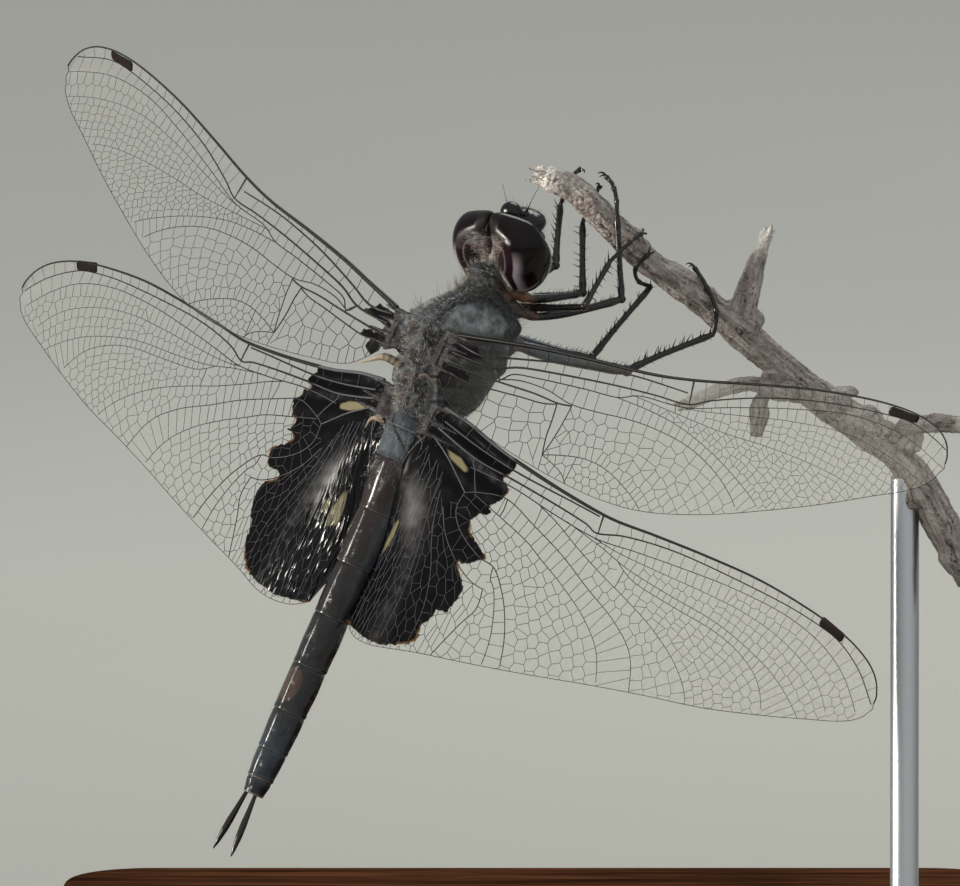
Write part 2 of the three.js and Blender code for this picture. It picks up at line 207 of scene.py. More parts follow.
def joinShapes(shapes):
    points, faces, base = [], [], 0
    for shapePoints, shapeFaces in shapes:
        points.append(shapePoints)
        faces += [tuple(i + base for i in face) for face in shapeFaces]
        base += len(shapePoints)
    return np.vstack(points), faces


def setAttribute(mesh, name, values):
    values = np.asarray(values, np.float32)
    kind = "FLOAT" if values.ndim == 1 else "FLOAT_VECTOR"
    attribute = mesh.attributes.get(name) or mesh.attributes.new(name, kind, "POINT")
    attribute.data.foreach_set("value" if values.ndim == 1 else "vector", values.ravel())


def placePoints(points, place):
    matrix = np.array(place)
    return np.asarray(points) @ matrix[:3, :3].T + matrix[:3, 3]


def newItem(name, data):
    item = bpy.data.objects.new(name, data)
    bpy.context.scene.collection.objects.link(item)
    return item


def newMesh(name, points, faces, place, edges=(), **attributes):
    # "place" keeps each point's own position in millimetres for the materials
    mesh = bpy.data.meshes.new(name)
    mesh.from_pydata(placePoints(points, place).tolist(), list(edges), faces)
    setAttribute(mesh, "place", points)
    for key, values in attributes.items():
        setAttribute(mesh, key, values)
    return newItem(name, mesh)


def settle(item, material, replaces=(), smooth=True):
    # gives a finished piece its material, hangs it on the root body and hides the frame's parts that it
    # replaces
    if material:
        item.data.materials.clear()
        item.data.materials.append(material)
    if smooth:
        item.data.polygons.foreach_set("use_smooth", [True] * len(item.data.polygons))
    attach(item, "root")
    if replaces:
        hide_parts(*replaces)
    return item


def applyNodes(item):
    # swaps an object with live modifiers for the plain mesh that they give
    bpy.context.view_layer.update()
    evaluated = item.evaluated_get(bpy.context.evaluated_depsgraph_get())
    mesh = bpy.data.meshes.new_from_object(evaluated)
    mesh.name = item.data.name
    item.modifiers.clear()
    item.data = mesh
    return item


def runTree(item, tree, **values):
    # runs a Geometry Nodes tree on an object, its inputs given by their names without spaces
    modifier = item.modifiers.new(tree.name, "NODES")
    modifier.node_group = tree
    for socket in tree.interface.items_tree:
        key = socket.name.replace(" ", "")
        key = key[0].lower() + key[1:]
        if socket.in_out == "INPUT" and key in values:
            modifier[socket.identifier] = values[key]
    return applyNodes(item)


def newTree(name, inputs):
    tree = bpy.data.node_groups.new(name, "GeometryNodeTree")
    tree.interface.new_socket("Geometry", in_out="INPUT", socket_type="NodeSocketGeometry")
    for label, kind, value in inputs:
        socket = tree.interface.new_socket(label, in_out="INPUT", socket_type=kind)
        if value is not None:
            socket.default_value = value
    tree.interface.new_socket("Geometry", in_out="OUTPUT", socket_type="NodeSocketGeometry")
    add = partial(addNode, tree)
    return tree, add, add("NodeGroupInput").node.outputs


# Geometry Nodes trees
# Turns the edges of a vein net into round tubes, each as thick as its points say.
def makeVeinTree():
    tree, add, given = newTree("vein tubes", [
        ("Sides", "NodeSocketInt", 5),
        ("Material", "NodeSocketMaterial", None),
    ])
    curve = add("GeometryNodeMeshToCurve", {"Mesh": given["Geometry"]})
    thickness = add("GeometryNodeInputNamedAttribute FLOAT", {"Name": "thickness"})
    sized = add("GeometryNodeSetCurveRadius", {"Curve": curve, "Radius": thickness})
    profile = add("GeometryNodeCurvePrimitiveCircle", {"Resolution": given["Sides"], "Radius": 1})
    tube = add("GeometryNodeCurveToMesh", {"Curve": sized, "Profile Curve": profile, "Fill Caps": True})
    if "Scale" in tube.node.inputs:
        thickness = add("GeometryNodeInputNamedAttribute FLOAT", {"Name": "thickness"})
        tree.links.new(thickness, tube.node.inputs["Scale"])
    real = add("GeometryNodeRealizeInstances", {"Geometry": tube})
    coloured = add("GeometryNodeSetMaterial", {"Geometry": real, "Material": given["Material"]})
    add("NodeGroupOutput", {"Geometry": coloured})
    return tree


# Stands one tapering, bent bristle or hair on each point, along its "lean" and as long as its "reach".
def makeBristleTree():
    tree, add, given = newTree("bristles", [
        ("Width", "NodeSocketFloat", 0.05),
        ("Sides", "NodeSocketInt", 5),
        ("Steps", "NodeSocketInt", 4),
        ("Bend", "NodeSocketFloat", 0.15),
        ("Spread", "NodeSocketFloat", 0.2),
        ("Seed", "NodeSocketInt", 1),
        ("Material", "NodeSocketMaterial", None),
    ])
    cone = add("GeometryNodeMeshCone", {
        "Vertices": given["Sides"], "Side Segments": given["Steps"], "Radius Top": 0,
        "Radius Bottom": 1, "Depth": 1,
    })
    position = add("GeometryNodeInputPosition")
    height = add("SeparateXYZ", [position], out="Z")
    square = add("Math POWER", [height, 2])
    bent = add("Math MULTIPLY", [square, given["Bend"]])
    offset = add("CombineXYZ", {"X": bent})
    thin = add("VectorMath MULTIPLY", [
        position, add("CombineXYZ", {"X": given["Width"], "Y": given["Width"], "Z": 1}),
    ])
    shaped = add("GeometryNodeSetPosition", {"Geometry": cone, "Position": thin, "Offset": offset})
    wobble = add("FunctionNodeRandomValue FLOAT_VECTOR", {
        "Min": (-1, -1, -1), "Max": (1, 1, 1), "Seed": given["Seed"],
    })
    stray = add("VectorMath SCALE", {0: wobble, "Scale": given["Spread"]})
    lean = add("VectorMath", [add("GeometryNodeInputNamedAttribute FLOAT_VECTOR", {"Name": "lean"}), stray])
    aligned = add("FunctionNodeAlignRotationToVector", {"Vector": lean}, axis="Z")
    placed = add("GeometryNodeInstanceOnPoints", {
        "Points": given["Geometry"], "Instance": shaped, "Rotation": aligned,
        "Scale": add("GeometryNodeInputNamedAttribute FLOAT", {"Name": "reach"}),
    })
    real = add("GeometryNodeRealizeInstances", {"Geometry": placed})
    coloured = add("GeometryNodeSetMaterial", {"Geometry": real, "Material": given["Material"]})
    add("NodeGroupOutput", {"Geometry": coloured})
    return tree


veinTree = makeVeinTree()
bristleTree = makeBristleTree()
print("stage: node trees made")


# Wings
# Each row is one station: leading x y, then trailing x y, out from the hinge.
foreWing = {
    "hinge": (2.7, 4.3, 3.4),
    "droop": 7,
    "sweep": {"right": -0.5, "left": 0.5},
    "sag": {"right": 0, "left": 0},
    "stations": [
        (0.65, 1.3, 0.55, -2.3), (4.5, 2.2, 3.2, -4.2), (8, 3, 7.5, -5), (13, 3.9, 13, -5.6),
        (18, 4.7, 18, -5.7), (22, 5.7, 22.5, -5.1), (27, 7.3, 27.5, -3.4), (32, 8.8, 32.5, -1.1),
        (37, 9.9, 37, 1.2), (40.5, 10.3, 40.5, 3.2), (43, 10.1, 43, 4.6), (44.5, 9.4, 44.5, 5.8),
        (45.2, 8.4, 45.2, 7.1), (45.35, 7.75, 45.35, 7.75),
    ],
    "inner": [(0.65, 1.3), (0.45, 0.1), (0.4, -1.1), (0.55, -2.3)],
    "stigma": ((38.9, 10.1), (41.6, 10.25), (41.4, 9.65), (38.7, 9.4)),
    "node": (21.8, 5.55, 22.2, 3.8),
    # main veins from the front back, each from its root out past the margin, and its thickness
    "veins": {
        "subcosta": (0.085, [
            (0.8, 0.75), (3.4, 0.6), (6.3, 1.5), (10, 2.6), (13, 3.35), (17, 4.1), (21.6, 4.55),
        ]),
        "radius": (0.09, [
            (0.3, -0.1), (4.5, 0.1), (7, 1), (10, 1.7), (15, 2.7), (19, 3.35), (22.1, 3.75), (24, 4.8),
            (28, 6.6), (33, 8.2), (38.7, 9.35), (41.8, 9.5), (45.3, 8.6),
        ]),
        "sector": (0.055, [
            (4.9, 0.05), (5.7, -0.5), (6.6, 0.3), (8.5, 0.75), (13, 1.55), (16, 2), (18, 2.85), (22, 3.45),
            (26, 5), (31, 6.8), (36, 8.2), (41, 8.4), (45.8, 7.2),
        ]),
        "second": (0.04, [(20.5, 3.2), (23, 3.6), (27, 4.7), (31, 5.8), (36, 6.7), (41, 6.4), (45.4, 5.2)]),
        "third": (0.04, [(17.2, 2.65), (22, 2.75), (26, 2.9), (30, 3.3), (34, 3.5), (38, 3.3), (42, 2.2)]),
        "fourth": (0.045, [
            (15.9, 1.98), (19, 2.1), (22, 1.95), (25, 1.35), (28, 0.4), (31, -0.9), (33.6, -2.6),
        ]),
        "median": (0.05, [
            (5.8, -0.45), (7.5, 0.1), (10, 0.3), (12.4, 0.05), (15, 0.35), (18, 0.85), (21, 1), (24, 0.75),
            (27, -0.2), (29.5, -1.7), (31.4, -3.8),
        ]),
        "middle": (0.045, [
            (12, -4.4), (13.5, -3.85), (15.5, -3.35), (17.5, -3.35), (19.5, -3.9), (21.5, -4.8), (23, -6),
        ]),
        "cubitus": (0.045, [(12, -4.4), (13.2, -4.7), (14.4, -5.2), (15.6, -6.4)]),
        "base": (0.08, [(0.3, -1.1), (5.7, -0.68), (9, -0.36), (11.3, -0.3), (12.6, -0.05)]),
        "anal": (0.06, [(1.4, -1.6), (3, -1.72), (5.6, -1.4), (8, -1.05), (10, -0.8), (11.3, -0.4)]),
        "triangleInner": (0.06, [(11.3, -0.35), (11.5, -1.5), (11.65, -3), (12, -4.4)]),
        "triangleOuter": (0.05, [(12, -4.4), (12.25, -3.3), (12.5, -1.6), (12.6, -0.05)]),
        "arculus": (0.06, [(4.9, 0.1), (5.35, -0.2), (5.75, -0.6)]),
    },
    # front vein, rear vein, height of a row of cells, spacing of cross veins, and the stretch of the wing;
    # a border made of two veins has a plus between them
    "fields": [
        ("lead", "subcosta", 9, 1.8, 2.2, 21.6), ("subcosta", "radius", 9, 1.6, 3.4, 21.9),
        ("lead", "radius", 9, 1.15, 22.3, 46), ("radius", "sector", 9, 1.1, 8.5, 46),
        ("sector", "second", 0.9, 0.85, 21, 46), ("second", "third", 0.72, 0.72, 21, 46),
        ("third", "fourth", 0.72, 0.75, 17.5, 46), ("fourth", "median", 9, 0.7, 16, 46),
        ("sector", "median", 9, 1.05, 8.5, 16), ("triangleOuter+median", "middle", 1, 0.9, 12, 46),
        ("middle", "trail", 0.6, 0.72, 14.8, 23), ("middle", "cubitus", 0.7, 0.75, 12, 15),
        ("cubitus", "trail", 0.6, 0.75, 12, 15), ("base", "anal", 9, 3, 2, 11),
        ("anal+triangleInner", "trail", 1.15, 1.2, 1.5, 12.05),
    ],
    "patches": {
        "right": [
            [(0.2, 0.4), (1.2, 0.9), (2.6, 1), (3.1, 0.55), (3.8, 0.2), (3.2, 0), (0.2, -0.35)],
            [(0.2, -1), (3, -1.15), (3.2, -1.6), (1.5, -1.85), (0.2, -1.8)],
            [(0.1, -1.8), (2.1, -1.85), (2.1, -2.4), (1.2, -2.8), (0.9, -3.2), (0.3, -2.8)],
        ],
    },
    "windows": {"right": [[(2.7, 0.45), (3.3, 0.5), (3.2, 0.2), (2.7, 0.25)]]},
}
foreWing["patches"]["left"] = foreWing["patches"]["right"]
foreWing["windows"]["left"] = foreWing["windows"]["right"]
hindWing = {
    "hinge": (2.6, -1.2, 1.3),
    "droop": 11,
    "sweep": {"right": -1.6, "left": 1.6},
    "sag": {"right": 2.2, "left": 2.4},
    "stations": [
        (0.75, 1.3, 0, -16.6), (3.4, 1, 1.3, -17.5), (6.5, 0.3, 3.6, -17.6), (10, -0.2, 7.5, -16.6),
        (14, -0.6, 12, -15.6), (18, -0.8, 17, -14.4), (22, -0.5, 22, -13.1), (27, -0.2, 27, -11.9),
        (32, -0.1, 32, -10.8), (37, -0.5, 37, -9.3), (40.5, -1.1, 40.5, -8.1), (43, -2, 43, -7.2),
        (44.4, -3, 44.4, -6.4), (45.1, -4.1, 45.1, -5.5), (45.2, -4.8, 45.2, -4.8),
    ],
    "inner": [
        (0.75, 1.3), (-0.4, -0.6), (-1.5, -2.6), (-1.75, -6), (-1.4, -9.5), (-0.65, -13.5), (0, -16.6),
    ],
    "stigma": ((38.1, -0.45), (40.5, -1), (40.3, -1.7), (37.9, -1.2)),
    "node": (17.2, -0.75, 17.4, -2.35),
    "veins": {
        "subcosta": (0.085, [(1.2, 0.35), (5, -0.35), (9, -0.78), (14.5, -0.95), (16.9, -1.05)]),
        "radius": (0.09, [
            (0.9, -0.3), (5, -1.2), (9, -1.42), (13, -1.7), (16, -2), (17.3, -2.3), (19.5, -1.6),
            (23, -1.05), (27, -0.85), (34, -0.9), (38, -1.25), (40.4, -1.8), (43, -3.2), (45.2, -5.2),
        ]),
        "sector": (0.055, [
            (4.9, -1.95), (9, -1.95), (13, -2.4), (17.3, -2.7), (21, -2.3), (25, -1.9), (30, -1.55),
            (35, -1.65), (39, -2.5), (42, -4.1), (44.8, -6.8),
        ]),
        "second": (0.04, [
            (17.3, -2.75), (20, -2.95), (24, -2.9), (28, -2.8), (32, -2.9), (36, -3.6), (40, -5.3),
            (43, -8.6),
        ]),
        "third": (0.045, [
            (14.5, -2.5), (18, -3.1), (21, -3.75), (25, -4.15), (29, -4.4), (32, -4.9), (36, -6.1),
            (39, -7.8), (41, -9.6),
        ]),
        "fourth": (0.045, [
            (20, -3.6), (22, -4.45), (26, -4.85), (30, -5.15), (33, -5.9), (35.5, -7.4), (37.4, -10.4),
        ]),
        "fifth": (0.045, [
            (11.8, -2.3), (13.7, -2.9), (16, -3.85), (19, -4.95), (22, -5.9), (25, -7), (28, -8.6),
            (30, -10.4), (31, -12.4),
        ]),
        "median": (0.05, [
            (5.4, -3.9), (6.6, -3.4), (9, -2.95), (12, -3.85), (15.5, -5.05), (18.5, -6.4), (22, -7.9),
            (24.5, -9.8), (26, -13.2),
        ]),
        "middle": (0.045, [
            (6.2, -3.7), (9, -4.4), (12, -5.2), (14, -6.05), (16.5, -7.1), (19.5, -8.7), (21.8, -10.8),
            (23.4, -14.4),
        ]),
        "cubitus": (0.055, [
            (5.4, -3.9), (5.3, -5.2), (6, -6.3), (7.3, -7.2), (9, -7.9), (10.6, -8.2), (12.3, -9.9),
            (13.4, -11.6), (14.2, -13.4), (15, -16.2),
        ]),
        "rearCubitus": (0.045, [
            (10.4, -8.1), (10.6, -9), (11.3, -9.7), (12.2, -11.4), (12.9, -13.6), (13.2, -16.6),
        ]),
        "loopOuter": (0.05, [(4.2, -5.6), (5.4, -7.4), (7.2, -8.9), (9, -9.8), (10.4, -10)]),
        "loopEnd": (0.05, [(10.4, -10), (10.6, -11.6), (9.8, -13.4), (8.4, -17.2)]),
        "loopMiddle": (0.04, [
            (3.4, -4.6), (3.9, -6.6), (4.6, -8.4), (5.6, -10.4), (6.3, -12.6), (6.5, -14.6), (6.3, -18.4),
        ]),
        "loopInner": (0.04, [
            (2.9, -3.2), (3.1, -5.6), (3.5, -8), (3.9, -10.4), (4.2, -12.6), (4.2, -14.8), (4, -18.6),
        ]),
        "anal": (0.04, [(2, -2.6), (2.1, -5), (2.3, -8), (2.4, -11.5), (2.3, -14.5), (2, -18.4)]),
        "rearAnal": (0.04, [(1.2, -2.4), (1.3, -5), (1.2, -8), (1.1, -11.5), (1, -14.5), (0.8, -17.9)]),
        "inner": (0.05, [
            (0.2, -1.2), (-0.7, -3.5), (-1.1, -6.5), (-0.95, -10), (-0.5, -13.5), (0.05, -16.8),
        ]),
        "base": (0.08, [(0.8, -1), (3, -2.2), (5.4, -3.9)]),
        "triangle": (0.05, [(9, -2.95), (9.1, -3.7), (9, -4.4)]),
        "arculus": (0.055, [(4.9, -1.2), (4.95, -1.6), (5.3, -2), (6.2, -3.5)]),
    },
    "fields": [
        ("lead", "subcosta", 9, 2, 1.6, 16.8), ("subcosta", "radius", 9, 1.7, 1.6, 17),
        ("lead", "radius", 9, 1.15, 17.8, 46), ("radius", "sector", 9, 1.1, 5.2, 46),
        ("sector", "second", 0.9, 0.75, 17.6, 46), ("second", "third", 0.85, 0.75, 17.6, 46),
        ("third", "fourth", 9, 0.62, 20.5, 46), ("fourth", "fifth", 0.8, 0.8, 20.5, 46),
        ("third", "fifth", 0.9, 0.85, 14.6, 20.5), ("sector", "third", 9, 0.9, 14.6, 17.6),
        ("fifth", "median", 1.2, 0.85, 12, 46), ("sector", "median", 9, 1.2, 7, 12),
        ("median", "middle", 9, 0.85, 7, 46), ("middle", "cubitus", 1, 0.95, 0, 46),
        ("cubitus", "rearCubitus", 1.1, 0.95, 10.4, 46), ("rearCubitus", "loopEnd", 0.95, 0.85, 0, 46),
        ("cubitus", "loopOuter", 1.1, 1, 0, 10.45), ("sector", "fifth", 9, 0.95, 12, 14.6),
        ("loopOuter+loopEnd", "loopMiddle", 0.72, 1.25, 0, 46),
        ("loopMiddle", "loopInner", 0.6, 1.3, 0, 46), ("loopInner", "anal", 0.5, 1.4, 0, 46),
        ("anal", "rearAnal", 0.42, 1.5, 0, 46), ("rearAnal", "inner", 0.4, 1.5, 0, 46),
    ],
    # the black saddle's outline, then its amber windows
    "patches": {
        "left": [[
            (0, 2.5), (8.6, 2.5), (8.5, -0.5), (9.1, -0.9), (9.15, -1.4), (8.3, -1.5), (8.3, -1.95),
            (9, -2.1), (9.2, -2.9), (9.7, -3), (9.1, -4.3), (8.4, -4.4), (8.3, -4.75), (8.9, -5.4),
            (8, -5.45), (7.7, -5.9), (8.4, -6.6), (9.6, -7.2), (9.6, -7.9), (9.1, -8.6), (7.7, -8.6),
            (7.2, -8.9), (8.9, -10.1), (9, -11), (8.6, -12.5), (8, -12.9), (7.9, -13.6), (7.6, -14.9),
            (7.1, -15.6), (6.3, -16.45), (4.5, -17), (2.5, -17.25), (0.9, -16.9), (-2, -16.5), (-2, 0),
        ]],
        "right": [[
            (0, 2.5), (8.3, 2.5), (8.4, -0.6), (7.9, -1.7), (8.8, -2.2), (8.6, -3.1), (7.8, -4.1),
            (8.2, -4.55), (7.3, -4.9), (6.9, -5.5), (7.1, -6.3), (8.3, -7.1), (9.6, -7.75), (8.9, -8.25),
            (8, -8.85), (7.3, -8.8), (8.2, -9.9), (8.8, -10.5), (8.8, -11.3), (8.4, -12.8), (7.5, -12.9),
            (7.3, -13.9), (6.9, -14.6), (7.1, -15.4), (6.8, -16.1), (5.9, -16.6), (4.6, -17.2), (3, -17.35),
            (1.2, -17), (-2, -16.5), (-2, 0),
        ]],
    },
    "windows": {
        "left": [
            [(1.2, -1), (2, -1), (3.5, -1.35), (4.4, -1.85), (4.2, -2.2), (3, -2), (1.8, -1.5)],
            [(0.25, -7.6), (0.6, -7.9), (1.15, -9.5), (1.1, -10.8), (0.4, -10.4), (0.25, -9)],
            [(1.35, -8.7), (1.75, -8.9), (1.8, -9.9), (1.5, -10)],
        ],
        "right": [
            [(2.3, -1.5), (3.8, -1.65), (5, -2.3), (4.6, -2.5), (3, -2.05)],
            [(0.95, -7.8), (0.9, -9.4), (0.4, -11.2), (0.3, -10.2), (0.55, -8.4)],
        ],
    },
}


def insidePolygon(points, polygon):
    polygon = np.asarray(polygon, float)
    following = np.roll(polygon, -1, 0)
    x, y = points[:, :1], points[:, 1:2]
    spans = (polygon[:, 1] > y) != (following[:, 1] > y)
    rise = np.where(following[:, 1] == polygon[:, 1], 1e-9, following[:, 1] - polygon[:, 1])
    crossing = (following[:, 0] - polygon[:, 0]) * (y - polygon[:, 1]) / rise + polygon[:, 0]
    return (spans & (x < crossing)).sum(1) % 2 == 1


def depthInside(points, polygons):
    # how far each point lies inside the polygons in millimetres, negative outside
    best = np.full(len(points), -99.0)
    for polygon in polygons:
        polygon = np.asarray(polygon, float)
        side = np.roll(polygon, -1, 0) - polygon
        apart = points[:, None] - polygon[None]
        share = np.clip((apart * side).sum(2) / (side ** 2).sum(1), 0, 1)
        distance = norm(apart - share[..., None] * side, axis=2).min(1)
        best = np.maximum(best, np.where(insidePolygon(points, polygon), distance, -distance))
    return best


def clipEdges(starts, ends, polygon):
    # the parts of the segments that lie inside a polygon
    polygon = np.asarray(polygon, float)
    side = np.roll(polygon, -1, 0) - polygon
    kept = []
    for a, b in zip(starts, ends):
        step = b - a
        cross = step[0] * side[:, 1] - step[1] * side[:, 0]
        cross = np.where(abs(cross) < 1e-12, 1e-12, cross)
        apart = polygon - a
        along = (apart[:, 0] * side[:, 1] - apart[:, 1] * side[:, 0]) / cross
        across = (apart[:, 0] * step[1] - apart[:, 1] * step[0]) / cross
        cuts = along[(along > 0) & (along < 1) & (across >= 0) & (across <= 1)]
        marks = np.unique(np.r_[0, cuts, 1])
        middles = a + np.outer((marks[:-1] + marks[1:]) / 2, step)
        for low, high, good in zip(marks[:-1], marks[1:], insidePolygon(middles, polygon)):
            if good and (high - low) * norm(step) > 0.05:
                kept.append((a + low * step, a + high * step))
    if not kept:
        return np.zeros((0, 2)), np.zeros((0, 2))
    kept = np.array(kept)
    return kept[:, 0], kept[:, 1]


def cellWalls(seeds, stretch):
    # the walls between the cells nearest to each seed: each joins the centres of two neighbouring triangles
    seeds = seeds @ stretch
    middle, reach = seeds.mean(0), np.ptp(seeds, 0).max() * 3 + 5
    ring = [middle + reach * np.array((cos(a), sin(a))) for a in np.linspace(0, 6.28, 17)[:-1]]
    places = [Vector(p) for p in (*seeds, *ring)]
    corners, _, triangles = geometry.delaunay_2d_cdt(places, [], [], 0, 1e-6)[:3]
    corners = np.array([tuple(c) for c in corners])
    a, b, c = (corners[[t[i] for t in triangles]] for i in range(3))
    ab, ac = b - a, c - a
    twice = 2 * (ab[:, 0] * ac[:, 1] - ab[:, 1] * ac[:, 0])
    abSquare, acSquare = (ab ** 2).sum(1), (ac ** 2).sum(1)
    centre = a + np.stack([
        (ac[:, 1] * abSquare - ab[:, 1] * acSquare) / twice,
        (ab[:, 0] * acSquare - ac[:, 0] * abSquare) / twice,
    ], 1)
    owners = {}
    for index, triangle in enumerate(triangles):
        for i in range(3):
            owners.setdefault(frozenset((triangle[i], triangle[i - 1])), []).append(index)
    pairs = np.array([pair for pair in owners.values() if len(pair) == 2])
    back = np.linalg.inv(stretch)
    return centre[pairs[:, 0]] @ back, centre[pairs[:, 1]] @ back


def fieldSeeds(front, rear, rowHeight, spacing, draw):
    # rows of cell middles between two veins: one row where they run close, more where they part
    steps = max(2, int(round(norm(np.diff((front + rear) / 2, axis=0), axis=1).sum() / spacing)))
    seeds = []
    for i in range(steps * 2):
        share = (i + 0.5) / (steps * 2)
        at = share * (len(front) - 1)
        a = [np.interp(at, range(len(front)), front[:, k]) for k in (0, 1)]
        b = [np.interp(at, range(len(rear)), rear[:, k]) for k in (0, 1)]
        width = dist(a, b)
        rows = max(1, round(width / rowHeight))
        for row in range(rows):
            if (row + i) % 2:
                continue
            across = (row + 0.5) / rows
            jitter = draw.normal(0, 0.05 if rows == 1 else 0.09, 2) * spacing
            seeds.append(np.array(a) * (1 - across) + np.array(b) * across + jitter)
    return np.array(seeds)


def wingCurves(wing):
    rows = np.array(wing["stations"])
    count = 20 * (len(rows) - 1)
    return smoothLine(rows[:, :2], count), smoothLine(rows[:, 2:], count)


def wingToBody(wing, side, flat, rise=0):
    # wing points (out, forward) in the body frame, with the pleats near the front edge
    lead = wingCurves(wing)[0]
    x, y = flat[:, 0], flat[:, 1]
    behind = np.interp(x, lead[:, 0], lead[:, 1]) - y
    pleat = 0.15 * np.cos(behind * 2 * pi / 1.7) * np.exp(-behind / 2) * ramp(x, 0.5, 5)
    inner = np.clip((5 - x) / 5.5, 0, 1)
    height = pleat - wing["sag"][side] * inner ** 2 * ramp(-y, 3, 12) - 0.5 * ramp(-x, 0.2, 1.3) + rise
    sign = -1 if side == "left" else 1
    sweep, droop = radians(wing["sweep"][side]), radians(wing["droop"])
    out = x * cos(sweep) - y * sin(sweep)
    ahead = x * sin(sweep) + y * cos(sweep)
    hinge = wing["hinge"]
    return np.stack([
        sign * (hinge[0] + out * cos(droop) + height * sin(droop)),
        hinge[1] + ahead,
        hinge[2] - out * sin(droop) + height * cos(droop),
    ], 1)


def cutVein(line, low, high):
    return line[(line[:, 0] >= low) & (line[:, 0] <= high)]


def wingNet(wing, seed):
    # every vein of a wing in its own plane: points with their thickness, and the edges that join them
    lead, trail = wingCurves(wing)
    outline = np.vstack([lead, trail[::-1], smoothLine(wing["inner"], 40)[::-1]])
    draw = np.random.default_rng(seed)
    lines = {"lead": lead, "trail": trail}
    points, edges, thick = [], [], []

    def addLine(line, widths):
        start = len(points)
        points.extend(line)
        thick.extend(widths)
        edges.extend((start + i, start + i + 1) for i in range(len(line) - 1))

    addLine(lead, np.interp(lead[:, 0], (0, 4, 20, 45), (0.24, 0.19, 0.12, 0.065)))
    addLine(trail[1:], np.full(len(trail) - 1, 0.026))
    for name, (width, rows) in wing["veins"].items():
        line = smoothLine(rows, max(6, 5 * len(rows)))
        lines[name] = line
        shown = line[insidePolygon(line, outline)]
        reach = norm(shown, axis=1)
        addLine(shown, width * np.interp(reach, (0, 6, 24, 46), (1.45, 1, 0.64, 0.46)))
    for front, rear, rowHeight, spacing, low, high in wing["fields"]:
        a, b = (evenLine(cutVein(np.vstack([lines[n] for n in name.split("+")]), low, high), 40)
                for name in (front, rear))
        run = a[-1] + b[-1] - a[0] - b[0]
        run /= norm(run)
        longer = min(1, rowHeight / spacing)  # cells are drawn out along the veins
        stretch = np.eye(2) + (longer - 1) * np.outer(run, run)
        seeds = fieldSeeds(a, b, rowHeight, spacing, draw)
        walls = clipEdges(*cellWalls(seeds, stretch), np.vstack([a, b[::-1]]))
        for start, end in zip(*clipEdges(*walls, outline)):
            width = np.interp(norm(start), (0, 10, 25, 46), (0.032, 0.025, 0.018, 0.015))
            addLine(np.array([start, end]), (width, width))
        if rowHeight < 5 and low > 0 and dist(a[0], b[0]) > 0.3:
            addLine(np.linspace(a[0], b[0], 4), (0.03,) * 4)
    nodus = np.array(wing["node"]).reshape(2, 2)
    addLine(nodus, (0.08, 0.05))
    return np.array(points), edges, np.array(thick)


def wingSheet(wing, side):
    # the membrane as a thin closed sheet
    lead, trail = wingCurves(wing)
    across = np.linspace(0, 1, 74 if wing is hindWing else 44)
    grid = lead[:, None] * (1 - across)[None, :, None] + trail[:, None] * across[None, :, None]
    rows, columns = grid.shape[:2]
    inner = smoothLine(wing["inner"], columns - 1) - grid[0]
    grid = grid + inner[None] * np.clip(1 - np.arange(rows) / 30, 0, 1)[:, None, None] ** 2
    flat = grid.reshape(-1, 2)
    top = wingToBody(wing, side, flat, 0.008)
    bottom = wingToBody(wing, side, flat, -0.008)
    faces = []
    count = rows * columns
    for i in range(rows - 1):
        for j in range(columns - 1):
            a = i * columns + j
            faces.append((a, a + columns, a + columns + 1, a + 1))
            faces.append((a + count, a + 1 + count, a + columns + 1 + count, a + columns + count))
    rim = [i * columns for i in range(rows)] + [(rows - 1) * columns + j for j in range(1, columns)]
    rim += [i * columns + columns - 1 for i in range(rows - 2, -1, -1)] + list(range(columns - 2, 0, -1))
    for a, b in zip(rim, rim[1:] + rim[:1]):
        faces.append((a, b, b + count, a + count))
    return np.vstack([flat, flat]), np.vstack([top, bottom]), faces


def wingShades(wing, side, flat):
    patch = depthInside(flat, wing["patches"][side])
    window = depthInside(flat, wing["windows"][side]) if wing is hindWing else patch - 99
    # only the folds of the left fan beside the abdomen catch the window light
    fan = ramp(-flat[:, 0] - 0.35 * flat[:, 1], -0.2, 3.4) if wing is hindWing and side == "left" else 0
    return {"patch": patch, "window": window, "fan": fan + 0 * patch,
            "rimmed": np.full(len(flat), 1.0 if wing is hindWing else 0.0)}
